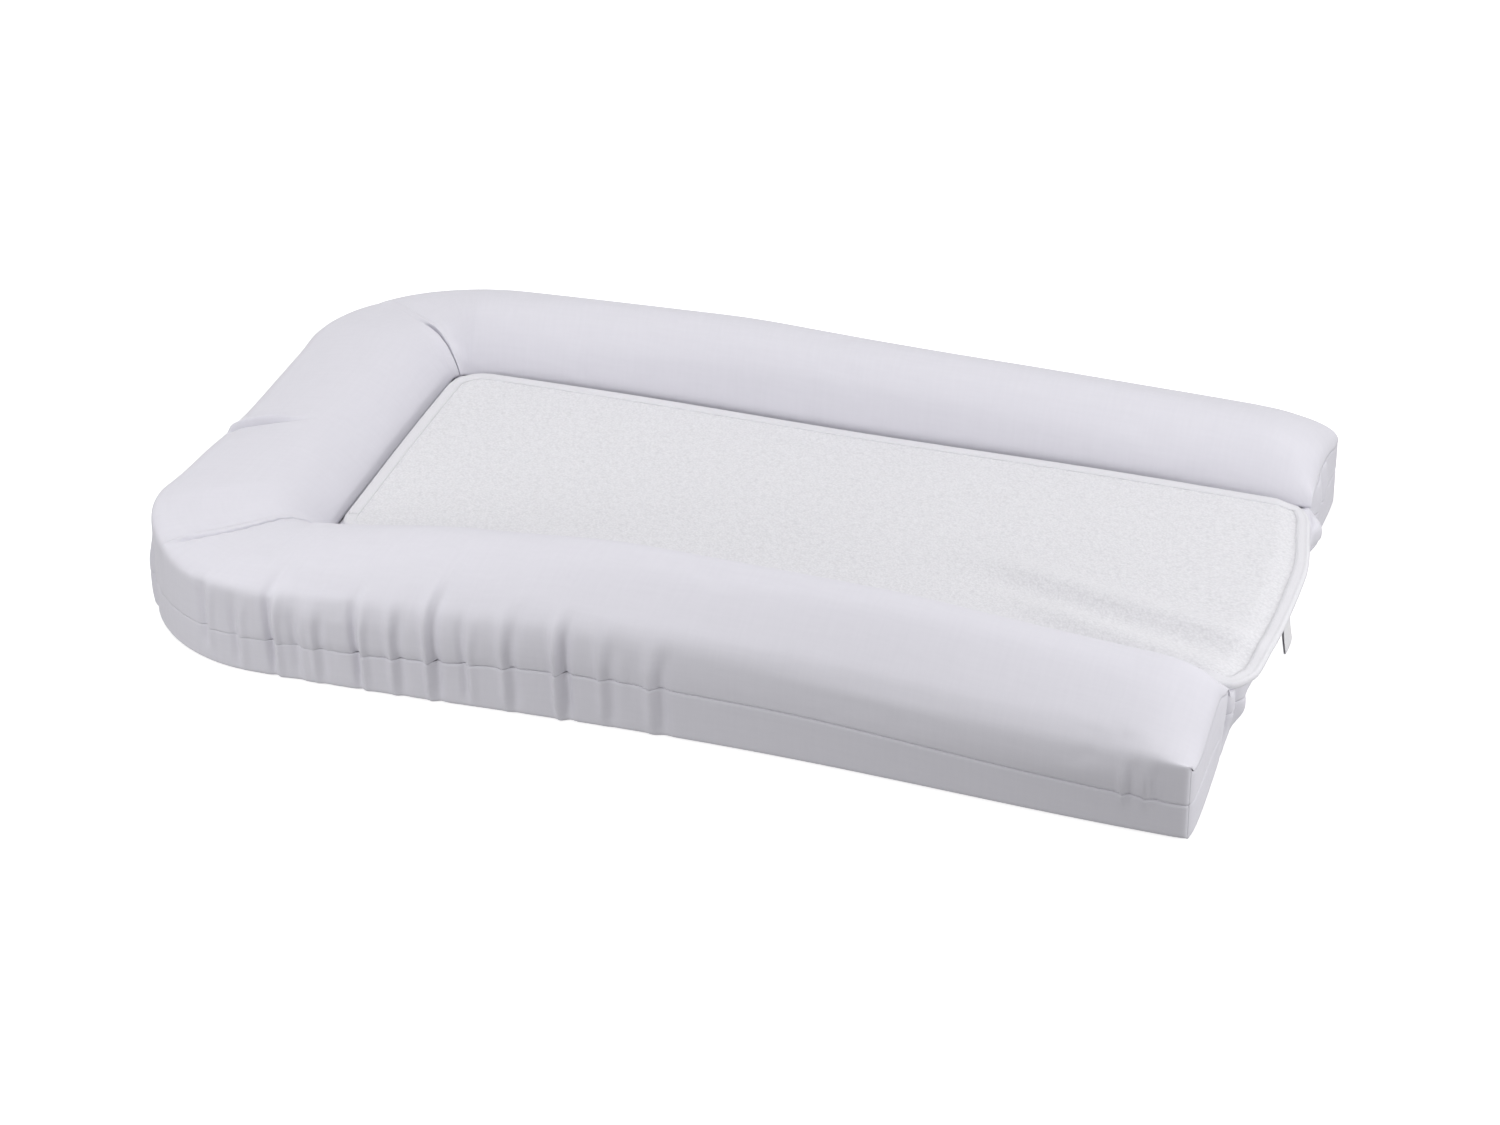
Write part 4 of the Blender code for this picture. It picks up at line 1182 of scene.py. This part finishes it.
def make_nylon():
    material, tree, shader = new_material("coil_nylon", (0.82, 0.82, 0.84), 0.42)
    specks = noise(tree, object_coordinates(tree), 900.0, 2.0)
    colour_by(tree, shader, specks, (0.78, 0.78, 0.80), (0.85, 0.85, 0.87))
    return material


def make_satin():
    """Satin tape with fine ribs across it, and painted shade darkening the grooves between them. It is
    blank.
    """
    material, tree, shader = new_material("label_satin", (0.66, 0.655, 0.68), 0.45)
    place = cloth_coordinates(tree)
    ribs = threads(tree, place, "Y", 0.0005)
    # Painted shade: the colour follows the ribs, darker in the grooves between them.
    colour_by(tree, shader, ribs, (0.62, 0.615, 0.64), (0.69, 0.685, 0.71))
    add_bump(tree, shader, ribs, 0.3, 0.0001)
    set_inputs(shader, {"Sheen Weight": 0.2})
    return material


def make_hook_and_loop(name, scale):
    """Hook-and-loop tape: rows of tiny bristles."""
    material, tree, shader = new_material(name, (0.80, 0.80, 0.82), 0.8)
    bristles = cells(tree, cloth_coordinates(tree), scale, 0.5)
    colour_by(tree, shader, bristles, (0.84, 0.84, 0.86), (0.66, 0.66, 0.69))
    add_bump(tree, shader, bristles, 0.8, 0.0008)
    return material


def make_plated_zinc():
    """Satin nickel plating, slightly uneven in its gloss."""
    material, tree, shader = new_material("nickel_plate", (0.70, 0.70, 0.72), 0.34)
    set_inputs(shader, {"Metallic": 1.0})
    scuffs = noise(tree, object_coordinates(tree), 1500.0, 3.0)
    rough = math_node(tree, "ADD", math_node(tree, "MULTIPLY", scuffs, 0.25), 0.22)
    tree.links.new(rough, shader.inputs["Roughness"])
    add_bump(tree, shader, scuffs, 0.15, 0.00005)
    return material


# -------- room, light and camera


FLOOR_Z = -0.0005


def stage_piece(name, points, faces, colour, glow):
    """A piece of the studio. It adds no diffuse light to the pad."""
    material, _, shader = new_material(name + "_white", colour, 0.9)
    white = (1.0, 1.0, 1.0, 1.0)
    set_inputs(shader, {"Emission Color": white, "Emission Strength": glow, "Specular IOR Level": 0.1})
    obj = mesh_object(name, points, faces, material)
    obj.location.z = FLOOR_Z
    obj.visible_diffuse = False
    return obj


def make_studio():
    """A white floor, and a white wall all the way round that lets the sky's light through."""
    half, height = 6.0, 8.0
    low = [(-half, -half, 0.0), (half, -half, 0.0), (half, half, 0.0), (-half, half, 0.0)]
    high = [(x, y, height) for x, y, _ in low]
    stage_piece("floor", low, [(0, 1, 2, 3)], (0.55, 0.55, 0.55), 0.72)
    sides = [(i, (i + 1) % 4, (i + 1) % 4 + 4, i + 4) for i in range(4)]
    wall = stage_piece("backdrop", low + high, sides, (0.0, 0.0, 0.0), 1.0)
    wall.visible_glossy = False
    wall.visible_shadow = False


def area_light(name, place, target, size, power, spread=180.0):
    light = bpy.data.lights.new(name, "AREA")
    light.shape = "DISK"
    light.spread = math.radians(spread)
    light.size = size
    light.energy = power
    obj = bpy.data.objects.new(name, light)
    obj.location = place
    obj.rotation_euler = (Vector(target) - Vector(place)).to_track_quat("-Z", "Y").to_euler()
    bpy.context.scene.collection.objects.link(obj)


def make_light():
    world = bpy.data.worlds.new("studio")
    world.use_nodes = True
    tree = world.node_tree
    place = tree.nodes.new("ShaderNodeTexCoord").outputs["Generated"]
    split = tree.nodes.new("ShaderNodeSeparateXYZ")
    tree.links.new(place, split.inputs[0])
    above = math_node(tree, "MULTIPLY", math_node(tree, "ADD", split.outputs["Z"], 0.3), 1.6)
    sky = tree.nodes.new("ShaderNodeMix")
    sky.data_type = "RGBA"
    set_inputs(sky, {"A": (0.27, 0.27, 0.27, 1.0), "B": (0.71, 0.71, 0.71, 1.0)})
    tree.links.new(above, sky.inputs["Factor"])
    tree.links.new(sky.outputs["Result"], tree.nodes["Background"].inputs["Color"])
    bpy.context.scene.world = world
    area_light("key", (-0.4, 0.3, 2.4), (0.0, 0.0, 0.0), 1.8, 20.0)
    area_light("foot_fill", (1.15, -0.10, 0.32), (0.4, 0.0, 0.04), 0.5, 3.4)
    area_light("left_fill", (-0.75, -1.25, 0.40), (-0.26, -0.24, 0.04), 0.30, 0.58, 70.0)
    bpy.context.scene.view_settings.view_transform = "Standard"


def make_camera():
    """The camera stands beyond the foot on the near side and looks down at the pad."""
    yaw, pitch = math.radians(18.0), math.radians(31.05)
    target = Vector((0.0005, 0.0124, 0.0))
    distance = 3.3414
    level = math.cos(pitch)
    forward = Vector((-math.sin(yaw) * level, math.cos(yaw) * level, -math.sin(pitch)))
    data = bpy.data.cameras.new("camera")
    data.lens = 107.7
    data.sensor_width = 36.0
    camera = bpy.data.objects.new("camera", data)
    camera.location = target - forward * distance
    camera.rotation_euler = forward.to_track_quat("-Z", "Y").to_euler()
    bpy.context.scene.collection.objects.link(camera)
    bpy.context.scene.camera = camera


# -------- build


COTTON = make_cotton()
TERRY = make_terry()
TAPE = make_tape()

make_cover(COTTON)
make_foot_end(COTTON)
make_centre(COTTON)
make_inside(make_liner_cloth(), make_foam())

towel, towel_flat = make_towel(TERRY)
binding = make_binding(TAPE)
stitches = make_hem_stitches(TAPE)
make_small_pieces()

make_studio()
make_light()
make_camera()
